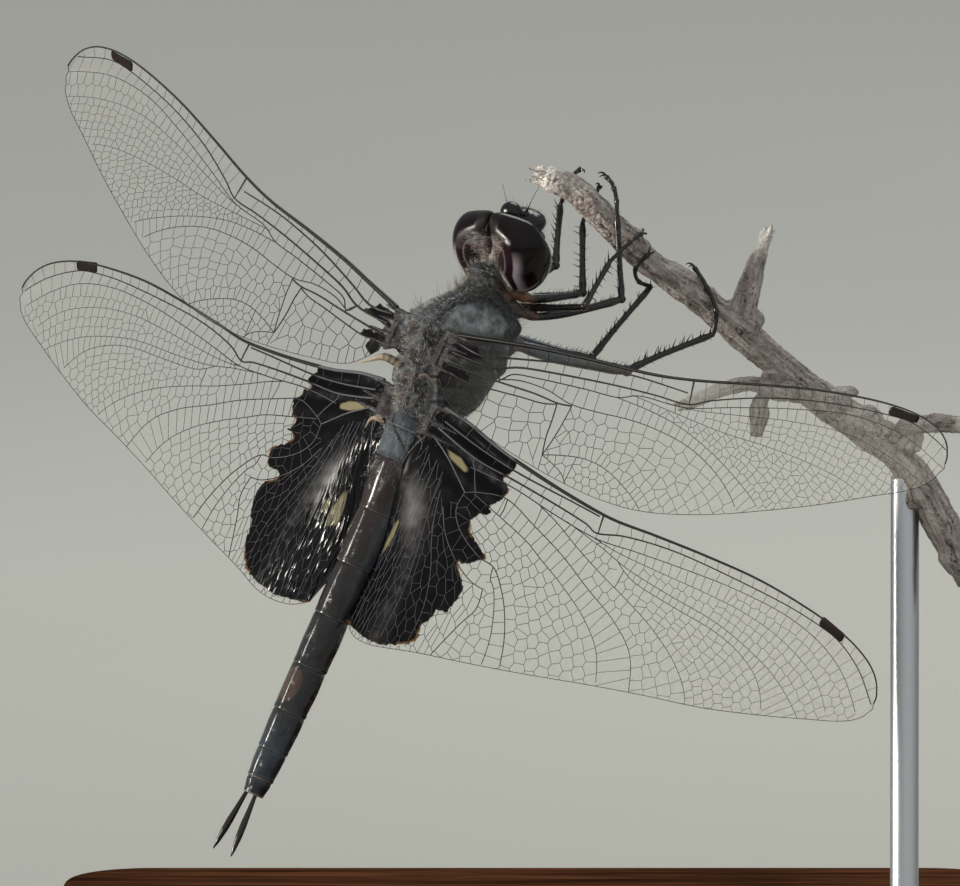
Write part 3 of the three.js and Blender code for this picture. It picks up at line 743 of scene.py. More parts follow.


# Wing membrane: two dry sheets of chitin a few microns thick. Clear and faintly smoky, so most light goes
# through; the pale grey veil, thicker towards the tip, is partly that smoky tint and partly a painted whitish
# sheen. The saddle is stained black-brown with an amber rim, and lies glossy like lacquer.
def membraneNodes(add):
    grain = add("TexNoise", ["@flat", 2.2, 3])
    edge = add("Math MULTIPLY_ADD", [add("Math SUBTRACT", [grain, 0.5]), 0.5, "@patch"])
    stain = add("MapRange SMOOTHSTEP", [edge, -0.06, 0.05])
    hole = add("MapRange SMOOTHSTEP", ["@window", -0.08, 0.1])
    tint = add("MapRange SMOOTHSTEP", [edge, 0.02, 0.2])
    # the amber shows only in places along the edge
    amber = add("MapRange", [add("TexNoise", ["@flat", 0.55, 1]), 0.5, 0.6])
    edging = add("Mix RGBA", [add("Math MULTIPLY", [amber, "@rimmed"]), "#150d09", "#6d4f2a"])
    rimmed = add("Mix RGBA", [tint, edging, "#0b0a0d"])
    # the clear membrane's pale grey is partly its faint smoky tint and partly a painted whitish sheen
    smoky = add("Mix RGBA", [add("MapRange", [edge, -0.14, -0.06]), "#a3a29c", rimmed])
    colour = add("Mix RGBA", [hole, smoky, "#7d7450"])
    haze = add("MapRange", [grain, 0.35, 0.65, 0.8, 1.2])
    # the veil thickens towards the tip: partly the membrane's tint, partly a painted whitish sheen
    outer = add("MapRange", [
        add("SeparateXYZ", ["@flat"], out="X"), 4, 36, 0.012, 0.1,
    ])
    solid = add("Mix", [stain, add("Math MULTIPLY", [haze, outer]), 0.985])
    alpha = add("Mix", [hole, solid, 0.62])
    cells = add("TexVoronoi SMOOTH_F1", ["@flat", 1.1])
    bump = add("Bump", {"Height": cells, "Strength": 0.3, "Distance": 0.0001})
    # the fan behind the saddle is folded like pleats, which catch the light in streaks
    drawn = add("Mapping", {"Vector": "@flat", "Scale": (5, 0.6, 1)})
    folds = add("TexVoronoi SMOOTH_F1", [drawn, 1])
    pleats = add("Bump", {"Height": folds, "Strength": "@fan", "Distance": 0.00035, "Normal": bump})
    rough = add("Mix", ["@fan", 0.26, 0.1])
    gloss = add("Math MULTIPLY", ["@fan", 0.45])
    return {
        "Base Color": colour, "Alpha": alpha, "Specular IOR Level": 0.04, "Roughness": rough,
        "Normal": pleats, "Coat Weight": gloss, "Coat Roughness": 0.12, "Coat Normal": pleats,
    }


# Vein chitin: hollow tubes, black-brown and satin on the clear wing; the paler grey where they cross the
# saddle is a painted sheen.
def veinChitinNodes(add):
    # the paler grey over the saddle is a painted sheen on the veins
    colour = add("Mix RGBA", [add("MapRange", ["@patch", 0.1, 0.5]), "#0f0c0a", "#4b4d51"])
    return {"Base Color": colour, "Roughness": 0.42, "Specular IOR Level": 0.22}


# Stigma chitin: the thick dark spot near the wing tip, nearly black and satin.
def stigmaChitinNodes(add):
    grain = add("TexNoise", ["@place", 6])
    colour = add("ValToRGB", [grain], stops=[(0.3, "#0b0808"), (0.8, "#231713")])
    return {"Base Color": colour, "Roughness": 0.7, "Specular IOR Level": 0.1}


def stigmaShape(wing, side):
    # a thin pad with rounded edges, a little thicker than the membrane round it
    rim = evenLine(np.vstack([wing["stigma"], wing["stigma"][:1]]), 40)[:-1]
    rim = (rim + np.roll(rim, 1, 0) + np.roll(rim, -1, 0)) / 3
    rings = []
    for rise, size in ((-0.07, 0.6), (-0.065, 0.86), (-0.035, 1), (0.035, 1), (0.065, 0.86), (0.07, 0.6)):
        shrunk = rim.mean(0) + (rim - rim.mean(0)) * (size, 1 - (1 - size) * 0.8)
        rings.append(wingToBody(wing, side, shrunk, rise))
    return closeRings(np.array(rings))


def makeWings():
    membrane = newMaterial("wing membrane", membraneNodes)
    veinChitin = newMaterial("vein chitin", veinChitinNodes)
    stigmaChitin = newMaterial("stigma chitin", stigmaChitinNodes)
    for kind, wing, seed in (("forewing", foreWing, 11), ("hindwing", hindWing, 23)):
        for side in ("left", "right"):
            flat, points, faces = wingSheet(wing, side)
            sheet = newMesh(f"{kind}Membrane_{side}", points, outward(points, faces), bodyFrame,
                            flat=np.c_[flat, np.zeros(len(flat))], **wingShades(wing, side, flat))
            settle(sheet, membrane, [f"{kind}_{side}"])
            netFlat, edges, thick = wingNet(wing, seed + (side == "left"))
            netPoints = wingToBody(wing, side, netFlat)
            thick = thick * (1 - 0.25 * ramp(depthInside(netFlat, wing["patches"][side]), 0.1, 0.5))
            net = newMesh(f"{kind}Veins_{side}", netPoints, [], bodyFrame, edges,
                          thickness=thick * 0.001, **wingShades(wing, side, netFlat))
            runTree(net, veinTree, sides=5, material=veinChitin)
            settle(net, veinChitin)
            settle(newMesh(f"{kind}Stigma_{side}", *stigmaShape(wing, side), bodyFrame), stigmaChitin)
    print("stage: wings made")


# Wing roots: the small plates and cords that join a wing to the thorax, in the wing's own plane
wingRoots = {
    # middle of each plate (out, forward, up) and its half sizes
    "forewing": {
        "plates": [
            ((0.3, 1.2, 0), (1.7, 0.2, 0.13)), ((-0.6, 0.85, -0.08), (0.9, 0.45, 0.13)),
            ((0.6, 0.2, 0.03), (1.7, 0.13, 0.09)), ((-0.8, -0.15, -0.06), (0.95, 0.6, 0.12)),
            ((0.8, -0.8, 0), (2, 0.14, 0.09)), ((-0.7, -1.15, -0.08), (0.9, 0.5, 0.12)),
            ((0.6, -1.65, -0.03), (1.4, 0.13, 0.08)), ((-1.1, 0, -0.3), (0.9, 1.9, 0.34)),
            ((0.1, -0.4, -0.08), (1.1, 1.7, 0.09)), ((-0.2, -0.5, 0.02), (0.12, 1.4, 0.13)),
        ],
        "cord": [(1.9, -3.75, 0), (1, -3.25, 0.03), (0.1, -2.7, 0.05), (-0.7, -2.5, 0), (-1.6, -2.7, -0.3)],
        "cordWidth": {"left": 1.5, "right": 0.5},
    },
    "hindwing": {
        "plates": [
            ((0.5, 1.15, 0), (1.8, 0.2, 0.14)), ((-0.5, 0.85, -0.08), (0.9, 0.45, 0.13)),
            ((0.9, -0.1, 0.02), (1.9, 0.15, 0.1)), ((-0.6, -0.1, -0.05), (0.95, 0.6, 0.13)),
            ((1, -1.1, 0), (1.9, 0.14, 0.09)), ((-0.5, -0.95, -0.06), (0.9, 0.5, 0.12)),
            ((-1, 0.1, -0.28), (0.9, 1.7, 0.34)), ((0.2, -0.1, -0.08), (1.1, 1.5, 0.09)),
            ((0, -0.1, 0.02), (0.12, 1.2, 0.13)),
        ],
        "cord": [(0.3, -3, -0.1), (0.4, -2.5, 0), (0.2, -1.9, 0.05), (-0.3, -1.6, 0), (-1.2, -1.7, -0.3)],
        "cordWidth": {"left": 0.9, "right": 0.4},
    },
}


# Wing root cuticle: mottled horn, slate and black, russet in the soft folds, straw along the cords.
def rootCuticleNodes(add):
    cloud = add("TexNoise", ["@place", 1.3, 4, 0.65])
    fine = add("TexNoise", ["@place", 7, 3])
    horn = add("ValToRGB", [cloud], stops=[
        (0.4, "#0e0d0f"), (0.5, "#1d2024"), (0.55, "#2a1a16"), (0.6, "#33383d"), (0.72, "#6b6f72"),
    ])
    colour = add("Mix RGBA", ["@cord", horn, add("Mix RGBA", [fine, "#5d4636", "#b3a792"])])
    bump = add("Bump", {"Height": fine, "Strength": 0.6, "Distance": 0.00008})
    return {
        "Base Color": colour, "Roughness": 0.58, "Specular IOR Level": 0.3, "Normal": bump,
    }


def makeWingRoots():
    cuticle = newMaterial("wing root cuticle", rootCuticleNodes)
    draw = np.random.default_rng(67)
    for kind, wing in (("forewing", foreWing), ("hindwing", hindWing)):
        for side in ("left", "right"):
            plates = []
            for middle, sizes in wingRoots[kind]["plates"]:
                points, faces = ballShape(middle, sizes, 18, 22)
                plates.append((wingToBody(wing, side, points[:, :2], points[:, 2]), faces))
            line = smoothLine(wingRoots[kind]["cord"], 40)
            width = wingRoots[kind]["cordWidth"][side]
            radii = [width * r for r in (0.03, 0.07, 0.14, 0.2, 0.24, 0.2)]
            points, faces = closeRings(tubeRings(line, radii, 12))
            plates.append((wingToBody(wing, side, points[:, :2], points[:, 2]), faces))
            plates = [(points, outward(points, faces)) for points, faces in plates]
            points, faces = meltShapes(plates, 0.06, 7)
            cordLine = wingToBody(wing, side, line[:, :2], line[:, 2])
            near = np.min(norm(points[:, None] - cordLine[None, ::4], axis=2), axis=1)
            straw = ramp(-near, -0.4, -0.25) * (1 if side == "left" else 0.25)
            settle(newMesh(f"{kind}Root_{side}", points, faces, bodyFrame, cord=straw), cuticle)
            tufts, normal = growRoots(points, faces, 420, lambda p: ramp(p[:, 2], 0, 2) + 0.2, draw)
            lean = normal + (0, -0.6, 0.2) + draw.normal(0, 0.25, tufts.shape)
            growHair(f"{kind}RootCoat_{side}", tufts, lean, draw.uniform(0.25, 0.7, len(tufts)), bodyFrame,
                     ("pale root hair", "#8d8b86", "#dedacf"), "thorax", thoraxUnwrap(tufts),
                     width=0.013, bend=0.22, spread=0.15, seed=21)
    print("stage: wing roots made")


# Body wall: thorax with the neck, and the abdomen
thorax = {
    # along the body, half width, top, bottom, narrowing of the top
    "rings": [
        (-1.45, 1.2, 1.2, -1.2, 0.1), (-1.2, 1.75, 1.8, -1.8, 0.1), (-0.5, 2.4, 2.35, -2.9, 0.1),
        (0.3, 2.85, 2.75, -4.2, 0.1), (1.5, 3.15, 3.25, -4.95, 0.1), (3, 3.3, 3.75, -5.25, 0.1),
        (4.5, 3.3, 4.15, -5.45, 0.12), (5.8, 3.15, 4.35, -5.55, 0.2), (7, 2.85, 3.15, -5.45, 0.3),
        (8.2, 2.45, 1.85, -4.95, 0.35), (9.2, 1.85, 0.85, -3.65, 0.35), (9.9, 1.3, 0.45, -2, 0.25),
        (10.25, 0.85, 0.3, -1.35, 0.1), (10.7, 1.15, 0.65, -1.5, 0), (11.05, 0.95, 0.55, -1.35, 0),
        (11.45, 0.55, 0.15, -0.95, 0),
    ],
    "boxiness": 0.94,
    "degree": 0.068,  # millimetres round the body
    "coat": 0.05,  # how far the skin lies under the hair
    # seams between the side plates: from and to, each as degrees round from the back, and along the body
    "seams": [
        (39, 3.95, 104, 5.6, 0.15, 0.17), (44, 2.8, 114, 4.2, 0.12, 0.1), (50, 1.6, 132, 2.5, 0.15, 0.16),
        (58, 0.2, 126, 0.9, 0.13, 0.12), (8, 6.2, 22, 9.4, 0.1, 0.07), (108, 7.4, 130, 5.4, 0.14, 0.12),
    ],
    # swellings of the back: place along the body and beside the middle, height, length and width
    "swellings": [
        (4.4, 0.95, 0.62, 0.85, 0.65), (2.55, 0, 0.7, 0.5, 0.75), (0.75, 0.9, 0.5, 0.8, 0.6),
        (-0.65, 0, 0.55, 0.42, 0.7), (3.4, 2.1, 0.34, 0.5, 0.4), (-0.2, 2, 0.3, 0.5, 0.4),
        (5.2, 2.2, 0.35, 0.4, 0.5),
    ],
    # the smooth shoulder plate in front of the wings: degrees round from the back, and along the body
    "shoulder": [
        (33, 5.6), (25, 6.8), (26, 7.8), (38, 8.6), (66, 9.1), (90, 8.9), (108, 8), (107, 6.7), (82, 5.6),
        (53, 4.9), (39, 5.1),
    ],
}


def nearSegment(x, y, segment):
    # distance from points to a straight piece of line
    x0, y0, x1, y1 = segment
    dx, dy = x1 - x0, y1 - y0
    share = np.clip(((x - x0) * dx + (y - y0) * dy) / (dx * dx + dy * dy), 0, 1)
    return np.hypot(x - x0 - share * dx, y - y0 - share * dy)


def thoraxShape(rings=150, sides=160):
    rows = smoothLine(thorax["rings"], rings - 1)
    rows = evenLine(rows, rings - 1)
    angle = np.linspace(-pi, pi, sides, endpoint=False)
    across = np.sign(np.sin(angle)) * abs(np.sin(angle)) ** thorax["boxiness"]
    height = np.sign(np.cos(angle)) * abs(np.cos(angle)) ** thorax["boxiness"]
    along, halfWidth, top, bottom, narrow = (rows[:, i, None] for i in range(5))
    x = across * halfWidth * (1 - narrow * height)
    z = (top + bottom) / 2 + height * (top - bottom) / 2
    y = along + 0 * x
    degrees = abs(np.degrees(angle))[None, :] + 0 * y
    degree = thorax["degree"]
    arc = degrees * degree
    lift = np.zeros_like(x)
    seam = np.zeros_like(x)
    for low, start, high, end, width, depth in thorax["seams"]:
        mark = bell(nearSegment(arc, y, (low * degree, start, high * degree, end)), 0, width)
        lift -= depth * mark
        seam = np.maximum(seam, mark * min(1, depth * 7))
    shoulder = [(low * degree, start) for low, start in thorax["shoulder"]]
    inside = depthInside(np.stack([arc.ravel(), y.ravel()], 1), [shoulder]).reshape(arc.shape)
    lift += 0.42 * ramp(inside, -0.05, 1.3) - 0.14 * bell(inside, -0.05, 0.13)
    seam = np.maximum(seam, 0.8 * bell(inside, -0.05, 0.13))
    back = ramp(-degrees, -58, -30) * ramp(y, -1.6, -0.6) * ramp(-y, -5.9, -5.2)
    lift -= 0.42 * back  # the hollow between the wings
    for place, apart, tall, long, wide in thorax["swellings"]:
        lift += tall * bell(y, place, long) * bell(arc, apart, wide)
    lift += 0.26 * bell(y, 5.85, 0.2) * ramp(-degrees, -60, -35)  # crest in front of the wings
    lift += 0.16 * bell(arc, 0, 0.13) * ramp(y, 5.9, 6.4) * ramp(-y, -9.6, -9)  # keel down the front
    lift += 0.2 * bell(nearSegment(arc, y, (2, 3.4, 4.2, 2.9)), 0, 0.2)  # ridges below the forewing
    lift += 0.3 * bell(nearSegment(arc, y, (3, 2.2, 3.9, 0.4)), 0, 0.28)
    lift += 0.16 * bell(y, 0.4, 0.7) * (bell(arc, 0.45, 0.22) + bell(arc, 1.35, 0.22))
    lift += 0.16 * bell(y, 4.6, 0.9) * bell(arc, 5.6, 1) + 0.16 * bell(y, 2, 0.8) * bell(arc, 5.8, 1)
    for place in (8, 6.3, 4.5):
        lift += 0.5 * bell(y, place, 0.7) * bell(arc, 8.6, 1)  # roots of the legs
    lift += 0.14 * bell(y, 3.4, 0.22) * bell(arc, 6.5, 0.3)  # breathing hole
    points = np.stack([x, y, z], 2)
    flat = points.reshape(-1, 3)
    soft = ramp(y, -1.3, -0.8) * ramp(-y, -11.4, -10.9)
    crease = (ripple(flat * (1, 0.6, 1), 0.9, 3) * 0.03 + ripple(flat, 0.35, 4) * 0.012).reshape(x.shape)
    crease += back * ripple(flat * (1, 1.6, 1), 0.5, 5).reshape(x.shape) * 0.09
    middle = points.mean(1, keepdims=True)
    outwards = points - middle
    outwards[..., 1] = 0
    outwards /= norm(outwards, axis=2, keepdims=True) + 1e-9
    points = points + outwards * ((lift + crease) * soft - thorax["coat"])[..., None]
    shape, faces = closeRings(points)
    ends = np.zeros(2)
    masks = {
        "seam": np.r_[seam.ravel(), ends],
        "back": np.r_[back.ravel(), ends],
        "dome": np.r_[ramp(inside, 0.1, 1.2).ravel(), ends],
    }
    return shape, faces, masks


# Thorax cuticle: a thin horny wall, slate blue under a greyish bloom, red-brown where it is soft.
def thoraxCuticleNodes(add):
    parts = add("SeparateXYZ", ["@place"]).node.outputs
    cloud = add("TexNoise", ["@place", 0.8, 5, 0.68])
    fine = add("TexNoise", ["@place", 5, 4, 0.7])
    slate = add("ValToRGB", [cloud], stops=[
        (0.34, "#101215"), (0.48, "#22272c"), (0.58, "#3c4348"), (0.7, "#798187"),
    ])
    sideways = add("MapRange", [parts["Y"], 6.4, 4.6])
    rearSide = add("Math MULTIPLY", [sideways, add("MapRange", [parts["Z"], 1.5, -0.6])])
    walled = add("Mix RGBA", [add("Math MULTIPLY", [rearSide, 0.45]), slate, "#191e24"])
    domed = add("Math MULTIPLY", ["@dome", 0.8])
    olive = add("TexNoise", ["@place", 1, 4, 0.65])
    domeShade = add("ValToRGB", [olive], stops=[
        (0.36, "#5b5a54"), (0.5, "#7e8487"), (0.66, "#a9aeb1"),
    ])
    walled = add("Mix RGBA", [domed, walled, domeShade])
    patchy = add("MapRange", [add("TexNoise", ["@place", 1.5, 3]), 0.5, 0.64, 0, 0.8])
    brown = add("Math MULTIPLY", [patchy, "@back"])
    soft = add("Mix RGBA", [brown, walled, add("Mix RGBA", [fine, "#30181a", "#5c4236"])])
    colour = add("Mix RGBA", [add("Math MULTIPLY", ["@seam", 0.75]), soft, "#0f0e10"])
    rough = add("MapRange", [fine, 0, 1, 0.42, 0.75])
    bump = add("Bump", {"Height": fine, "Strength": 0.5, "Distance": 0.00008})
    return {"Base Color": colour, "Roughness": rough, "Normal": bump}


# Hair: fine chitin bristles, pale grey to straw, each a tapering rod.
def hairNodes(add, dark, pale):
    mix = add("TexNoise", ["@place", 3, 2])
    colour = add("ValToRGB", [mix], stops=[(0.35, dark), (0.65, pale)])
    return {"Base Color": colour, "Roughness": 0.45}


def growRoots(points, faces, count, weigh, draw):
    # random places on a surface, more where weigh() is high: place and outward direction of each
    first = np.array([face[:3] for face in faces])
    a, b, c = points[first[:, 0]], points[first[:, 1]], points[first[:, 2]]
    normal = np.cross(b - a, c - a)
    area = norm(normal, axis=1)
    normal /= area[:, None] + 1e-12
    chance = area * np.maximum(weigh((a + b + c) / 3), 0)
    chosen = draw.choice(len(first), count, p=chance / chance.sum())
    u, v = draw.random((2, count, 1))
    u, v = np.where(u + v > 1, 1 - u, u), np.where(u + v > 1, 1 - v, v)
    return a[chosen] + u * (b - a)[chosen] + v * (c - a)[chosen], normal[chosen]


def growHair(name, roots, lean, reach, place, hair, slot, unwrap, **tree):
    # one bristle on each root; its bake map is a small patch at the root's place on the skin's own unwrap
    turned = np.asarray(lean) @ np.array(place)[:3, :3].T * 1000
    item = newMesh(name, roots, [], place, lean=turned, reach=np.asarray(reach) * 0.001, home=unwrap)
    sides, steps = tree.setdefault("sides", 3), tree.setdefault("steps", 2)
    material = bpy.data.materials.get(hair[0]) or newMaterial(hair[0], hairNodes, *hair[1:])
    runTree(item, bristleTree, material=material, **tree)
    mesh = item.data
    home = np.zeros(len(mesh.vertices) * 3, np.float32)
    mesh.attributes["home"].data.foreach_get("vector", home)
    each = len(mesh.vertices) // len(roots)
    index = np.arange(len(mesh.vertices)) % each
    patch = np.stack([(index % sides) / sides - 0.5, (index // sides) / (steps + 1) - 0.5], 1) * 0.003
    corner = np.zeros(len(mesh.loops), np.int32)
    mesh.loops.foreach_get("vertex_index", corner)
    layer = mesh.uv_layers.new(name="OFBake")
    layer.data.foreach_set("uv", (home.reshape(-1, 3)[:, :2] + patch)[corner].astype(np.float32).ravel())
    for spare in ("home", "lean", "reach"):
        if spare in mesh.attributes:
            mesh.attributes.remove(mesh.attributes[spare])
    return settle(item, material)


def thoraxUnwrap(roots):
    # round the body across, along it upwards
    around = np.arctan2(roots[:, 0], roots[:, 2] + 0.6) / (2 * pi) + 0.5
    along = (roots[:, 1] + 6) / 19
    return np.clip(np.stack([around, along, 0 * along], 1), 0.01, 0.99)


def makeThorax():
    points, faces, masks = thoraxShape()
    skin = newMesh("thoraxSkin", points, faces, bodyFrame, **masks)
    settle(skin, newMaterial("thorax cuticle", thoraxCuticleNodes), ["thorax", "prothorax"])
    draw = np.random.default_rng(7)

    def coatWeight(p):
        # thick between the wings, along the front edge and the neck; thin on the smooth side plates
        degrees = np.degrees(np.arctan2(p[:, 0], p[:, 2] + 0.8))
        back = ramp(-abs(degrees), -65, -30) * ramp(-p[:, 1], -6.3, -5.4)
        front = ramp(-abs(degrees), -34, -8) * ramp(p[:, 1], 5.6, 6.2) * 1.3
        under = ramp(abs(degrees), 96, 120) * 0.55
        rear = bell(p[:, 1], -0.6, 0.9) * 0.6
        nape = ramp(p[:, 1], 9.3, 10) * 0.8
        return back + front + under + rear + nape + 0.05

    roots, normal = growRoots(points, faces, 5200, coatWeight, draw)
    flow = np.stack([np.sign(roots[:, 0]) * 0.35, -0.75 * np.ones(len(roots)), 0 * roots[:, 0]], 1)
    lean = normal * 0.75 + flow * draw.uniform(0.2, 0.9, (len(roots), 1)) + draw.normal(0, 0.22, roots.shape)
    length = draw.uniform(0.35, 0.75, len(roots)) * (0.62 + 0.5 * ramp(-abs(roots[:, 0]), -2.2, -0.5))
    growHair("thoraxCoat", roots, lean, length, bodyFrame, ("pale body hair", "#9c9a94", "#ece9df"),
             "thorax", thoraxUnwrap(roots), width=0.015, bend=0.22, spread=0.1, seed=3)

    def napeWeight(p):
        return bell(p[:, 1], 9.6, 1.2) + 0.25 * bell(p[:, 1], 6.2, 0.5)

    roots, normal = growRoots(points, faces, 900, napeWeight, draw)
    lean = normal + np.array([0, 0.35, 0.1]) + draw.normal(0, 0.2, roots.shape)
    growHair("napeCoat", roots, lean, draw.uniform(0.6, 1.35, len(roots)), bodyFrame,
             ("dark body hair", "#2c251e", "#8d8271"), "thorax", thoraxUnwrap(roots),
             width=0.013, bend=0.18, spread=0.12, seed=5)
    print("stage: thorax made")


abdomen = {
    "ends": [-1.5, -2.7, -5.2, -9.4, -13.9, -18.2, -22.4, -26.2, -29.4, -31.8, -33.1],
    "halfWidth": [1.95, 2.3, 2.3, 1.75, 1.58, 1.5, 1.45, 1.4, 1.25, 1.05, 0.8],
    "halfHeight": [1.95, 2.1, 1.85, 1.5, 1.4, 1.35, 1.3, 1.25, 1.15, 1, 0.75],
    "axisHeight": -0.35,
    "sway": 0.25,
}


def segmentShape(index, rings=26, sides=96):
    front, rear = abdomen["ends"][index], abdomen["ends"][index + 1]
    length = front - rear
    tuck = 0.35 if index else 0.25  # the collar pushed into the segment before
    along = np.linspace(0, length, rings - 5)
    along = np.r_[-tuck, -tuck * 0.5, along, length + 0.02, length - 0.06, length - 0.14]
    share = np.clip(along / length, 0, 1)
    width = np.interp(share, (0, 1), abdomen["halfWidth"][index:index + 2])
    tall = np.interp(share, (0, 1), abdomen["halfHeight"][index:index + 2])
    swell = 1 + 0.035 * np.sin(pi * share)
    # raised hind rim, pinched front
    lip = 0.045 * bell(along, length - 0.1, 0.14) - 0.05 * bell(along, 0.05, 0.12)
    collar = np.where(along < 0, -0.1, 0)
    # cross ridge of segments 2 to 4
    fold = 0.03 * bell(along, length * 0.42, 0.06) if index in (1, 2, 3) else 0 * along
    size = swell + lip + collar + fold
    size[-2:] = size[-3] - (0.05, 0.16)
    angle = np.linspace(-pi, pi, sides, endpoint=False)
    keel = 0.035 * bell(np.degrees(angle), 0, 7) + 0.045 * bell(abs(np.degrees(angle)), 116, 9)
    flat = -0.04 * bell(abs(np.degrees(angle)), 52, 30)  # roof-like slopes beside the keel
    across = np.sin(angle) * (1 + keel + flat)
    height = np.cos(angle) * (1 + keel + flat)
    height = np.where(height < 0, height * 0.85, height)
    rows = np.stack([
        abdomen["sway"] + across[None, :] * (width * size)[:, None],
        (front - along)[:, None] + 0 * across[None, :],
        abdomen["axisHeight"] + height[None, :] * (tall * size)[:, None],
    ], 2)
    flatRows = rows.reshape(-1, 3)
    wobble = ripple(flatRows * (1, 0.7, 1), 1.1, index + 20).reshape(rows.shape[:2]) * 0.014
    middle = rows.mean(1, keepdims=True)
    rows = rows + (rows - middle) * wobble[..., None]
    points, faces = closeRings(rows)
    edge = np.minimum(abs(along - length + 0.05), abs(along - 0.02) + 0.03)
    masks = {
        "rim": np.r_[(edge[:, None] + 0 * across[None, :]).ravel(), 0, 0],
        "round": np.r_[(np.degrees(angle)[None, :] + 0 * along[:, None]).ravel(), 0, 0],
    }
    return points, faces, masks


# Abdomen shell: hard polished cuticle, black-brown, with pale soft joints and a thin blue-grey bloom on the
# front flanks, partly a painted sheen.
# The first two plates have no polish.
def abdomenShellNodes(add, polish):
    along = add("SeparateXYZ", ["@place"], out="Y")
    cloud = add("TexNoise", ["@place", 0.9, 4, 0.6])
    fine = add("TexNoise", ["@place", 9, 3, 0.7])
    share = add("MapRange", [along, -1.5, -33.5])
    # segment by segment: blue-grey first plates, red-brown, black, then slate near the tip
    ground = add("ValToRGB", [share], stops=[
        (0, "#343a40"), (0.1, "#4c545b"), (0.122, "#1a0f0c"), (0.25, "#1c0f0c"), (0.36, "#120d0c"),
        (0.6, "#0f0e10"), (0.78, "#16181c"), (0.86, "#27303a"), (0.95, "#22272e"), (1, "#101114"),
    ])
    # the blue-grey bloom on the flanks of the front segments is partly real bloom and partly a painted sheen
    flank = add("Math ABSOLUTE", ["@round"])
    side = add("MapRange", [flank, 44, 72])
    bloom = add("Math MULTIPLY", [side, add("MapRange", [along, -19, -13])])
    dusty = add("Math MULTIPLY", [
        add("Math MULTIPLY", [bloom, 0.4]), cloud,
    ])
    bloomed = add("Mix RGBA", [dusty, ground, "#7d8894"])
    # the tan spot on the back of segment 7, split by the dark keel
    spotA = add("Math DIVIDE", [add("Math SUBTRACT", [along, -24.1]), 1.5])
    spotB = add("Math DIVIDE", [flank, 36])
    spotSquare = add("VectorMath LENGTH", [
        add("CombineXYZ", {"X": spotA, "Y": spotB}),
    ])
    spot = add("MapRange", [add("Math MULTIPLY_ADD", [cloud, 0.5, spotSquare]), 1.3, 1.12])
    spotted = add("Math MULTIPLY", [spot, add("MapRange", [flank, 2, 7])])
    tanned = add("Mix RGBA", [spotted, bloomed, "#43322a"])
    # a dark slanted line crosses the dusty front plates
    gap = add("Math ADD", [add("Math MULTIPLY_ADD", ["@round", 0.032, along]), 3.1])
    mark = add("MapRange", [
        add("Math ABSOLUTE", [gap]), 0.2, 0.08, 0, 0.85,
    ])
    front = add("MapRange", [along, -5.3, -4.9])
    tanned = add("Mix RGBA", [add("Math MULTIPLY", [mark, front]), tanned, "#0f1013"])
    joint = add("MapRange", ["@rim", 0.075, 0.035, 0, 0.9 if polish else 0.25])
    colour = add("Mix RGBA", [joint, tanned, "#857e70"])
    dull = add("Math ADD", [add("Math MULTIPLY", [front, 0.35]), 0.2])
    firm = add("Math MULTIPLY_ADD", [fine, 0.12, add("Math MULTIPLY_ADD", [dusty, 0.45, dull])])
    pits = add("TexVoronoi", ["@place", 7])
    dents = add("TexNoise", ["@place", 1.1, 1])
    dented = add("Bump", {"Height": dents, "Strength": 0.7, "Distance": 0.00045})
    bump = add("Bump", {"Height": pits, "Strength": 0.16, "Distance": 0.00005, "Normal": dented})
    grain = add("Bump", {"Height": fine, "Strength": 0.12, "Distance": 0.00004, "Normal": bump})
    return {
        "Base Color": colour, "Roughness": firm, "Specular IOR Level": 0.12, "Coat Weight": polish,
        "Coat Roughness": 0.25, "Normal": grain,
    }


cercus = {"length": 4.9, "spread": 0.45, "splay": 6, "thickness": 0.42}


def makeAbdomen():
    polished = newMaterial("abdomen shell", abdomenShellNodes, 0.9)
    dusty = newMaterial("dusty abdomen shell", abdomenShellNodes, 0)
    draw = np.random.default_rng(17)
    coat = []
    for index in range(10):
        points, faces, masks = segmentShape(index)
        segment = newMesh(f"abdomenPlate_{index + 1}", points, faces, bodyFrame, **masks)
        settle(segment, polished if index > 1 else dusty, [f"abdomen_{index + 1}"])
        count = (700, 1500, 500, 70, 60, 60, 60, 70, 90, 110)[index]
        start = abdomen["ends"][index]
        coat.append(growRoots(points, faces, count, lambda p: bell(p[:, 1], start - 0.4, 1.3) + 0.06, draw))
    roots = np.vstack([c[0] for c in coat])
    normal = np.vstack([c[1] for c in coat])
    lean = normal * 0.45 + np.array([0, -0.8, 0]) + draw.normal(0, 0.18, roots.shape)
    longer, shorter = draw.uniform(0.4, 0.9, len(roots)), draw.uniform(0.15, 0.35, len(roots))
    length = np.where(roots[:, 1] > -7, longer, shorter)
    growHair("abdomenCoat", roots, lean, length, bodyFrame, ("grey belly hair", "#7d7f83", "#cfcec8"),
             "abdomen", thoraxUnwrap(roots * (1, 0.45, 1)), width=0.013, bend=0.2, spread=0.1, seed=9)
    start = abdomen["ends"][10] + 0.25
    spread = tan(radians(cercus["splay"])) * cercus["length"]
    for side, sign in (("left", -1), ("right", 1)):
        line = smoothLine([
            (abdomen["sway"] + sign * (cercus["spread"] + spread * t),
             start - (cercus["length"] + 0.4) * t,
             abdomen["axisHeight"] + 0.25 + 0.3 * t) for t in (0, 0.5, 1)
        ], 40)
        half = cercus["thickness"] / 2
        radii = [half * r for r in (0.7, 0.8, 1, 1.25, 1.2, 0.8, 0.15)]
        points, faces = closeRings(tubeRings(line, radii, 16))
        piece = newMesh(f"tailClasper_{side}", points, faces, bodyFrame,
                        rim=np.ones(len(points)), round=np.full(len(points), 90.0))
        settle(piece, legChitin, [f"cercus_{side}"])
    print("stage: abdomen made")


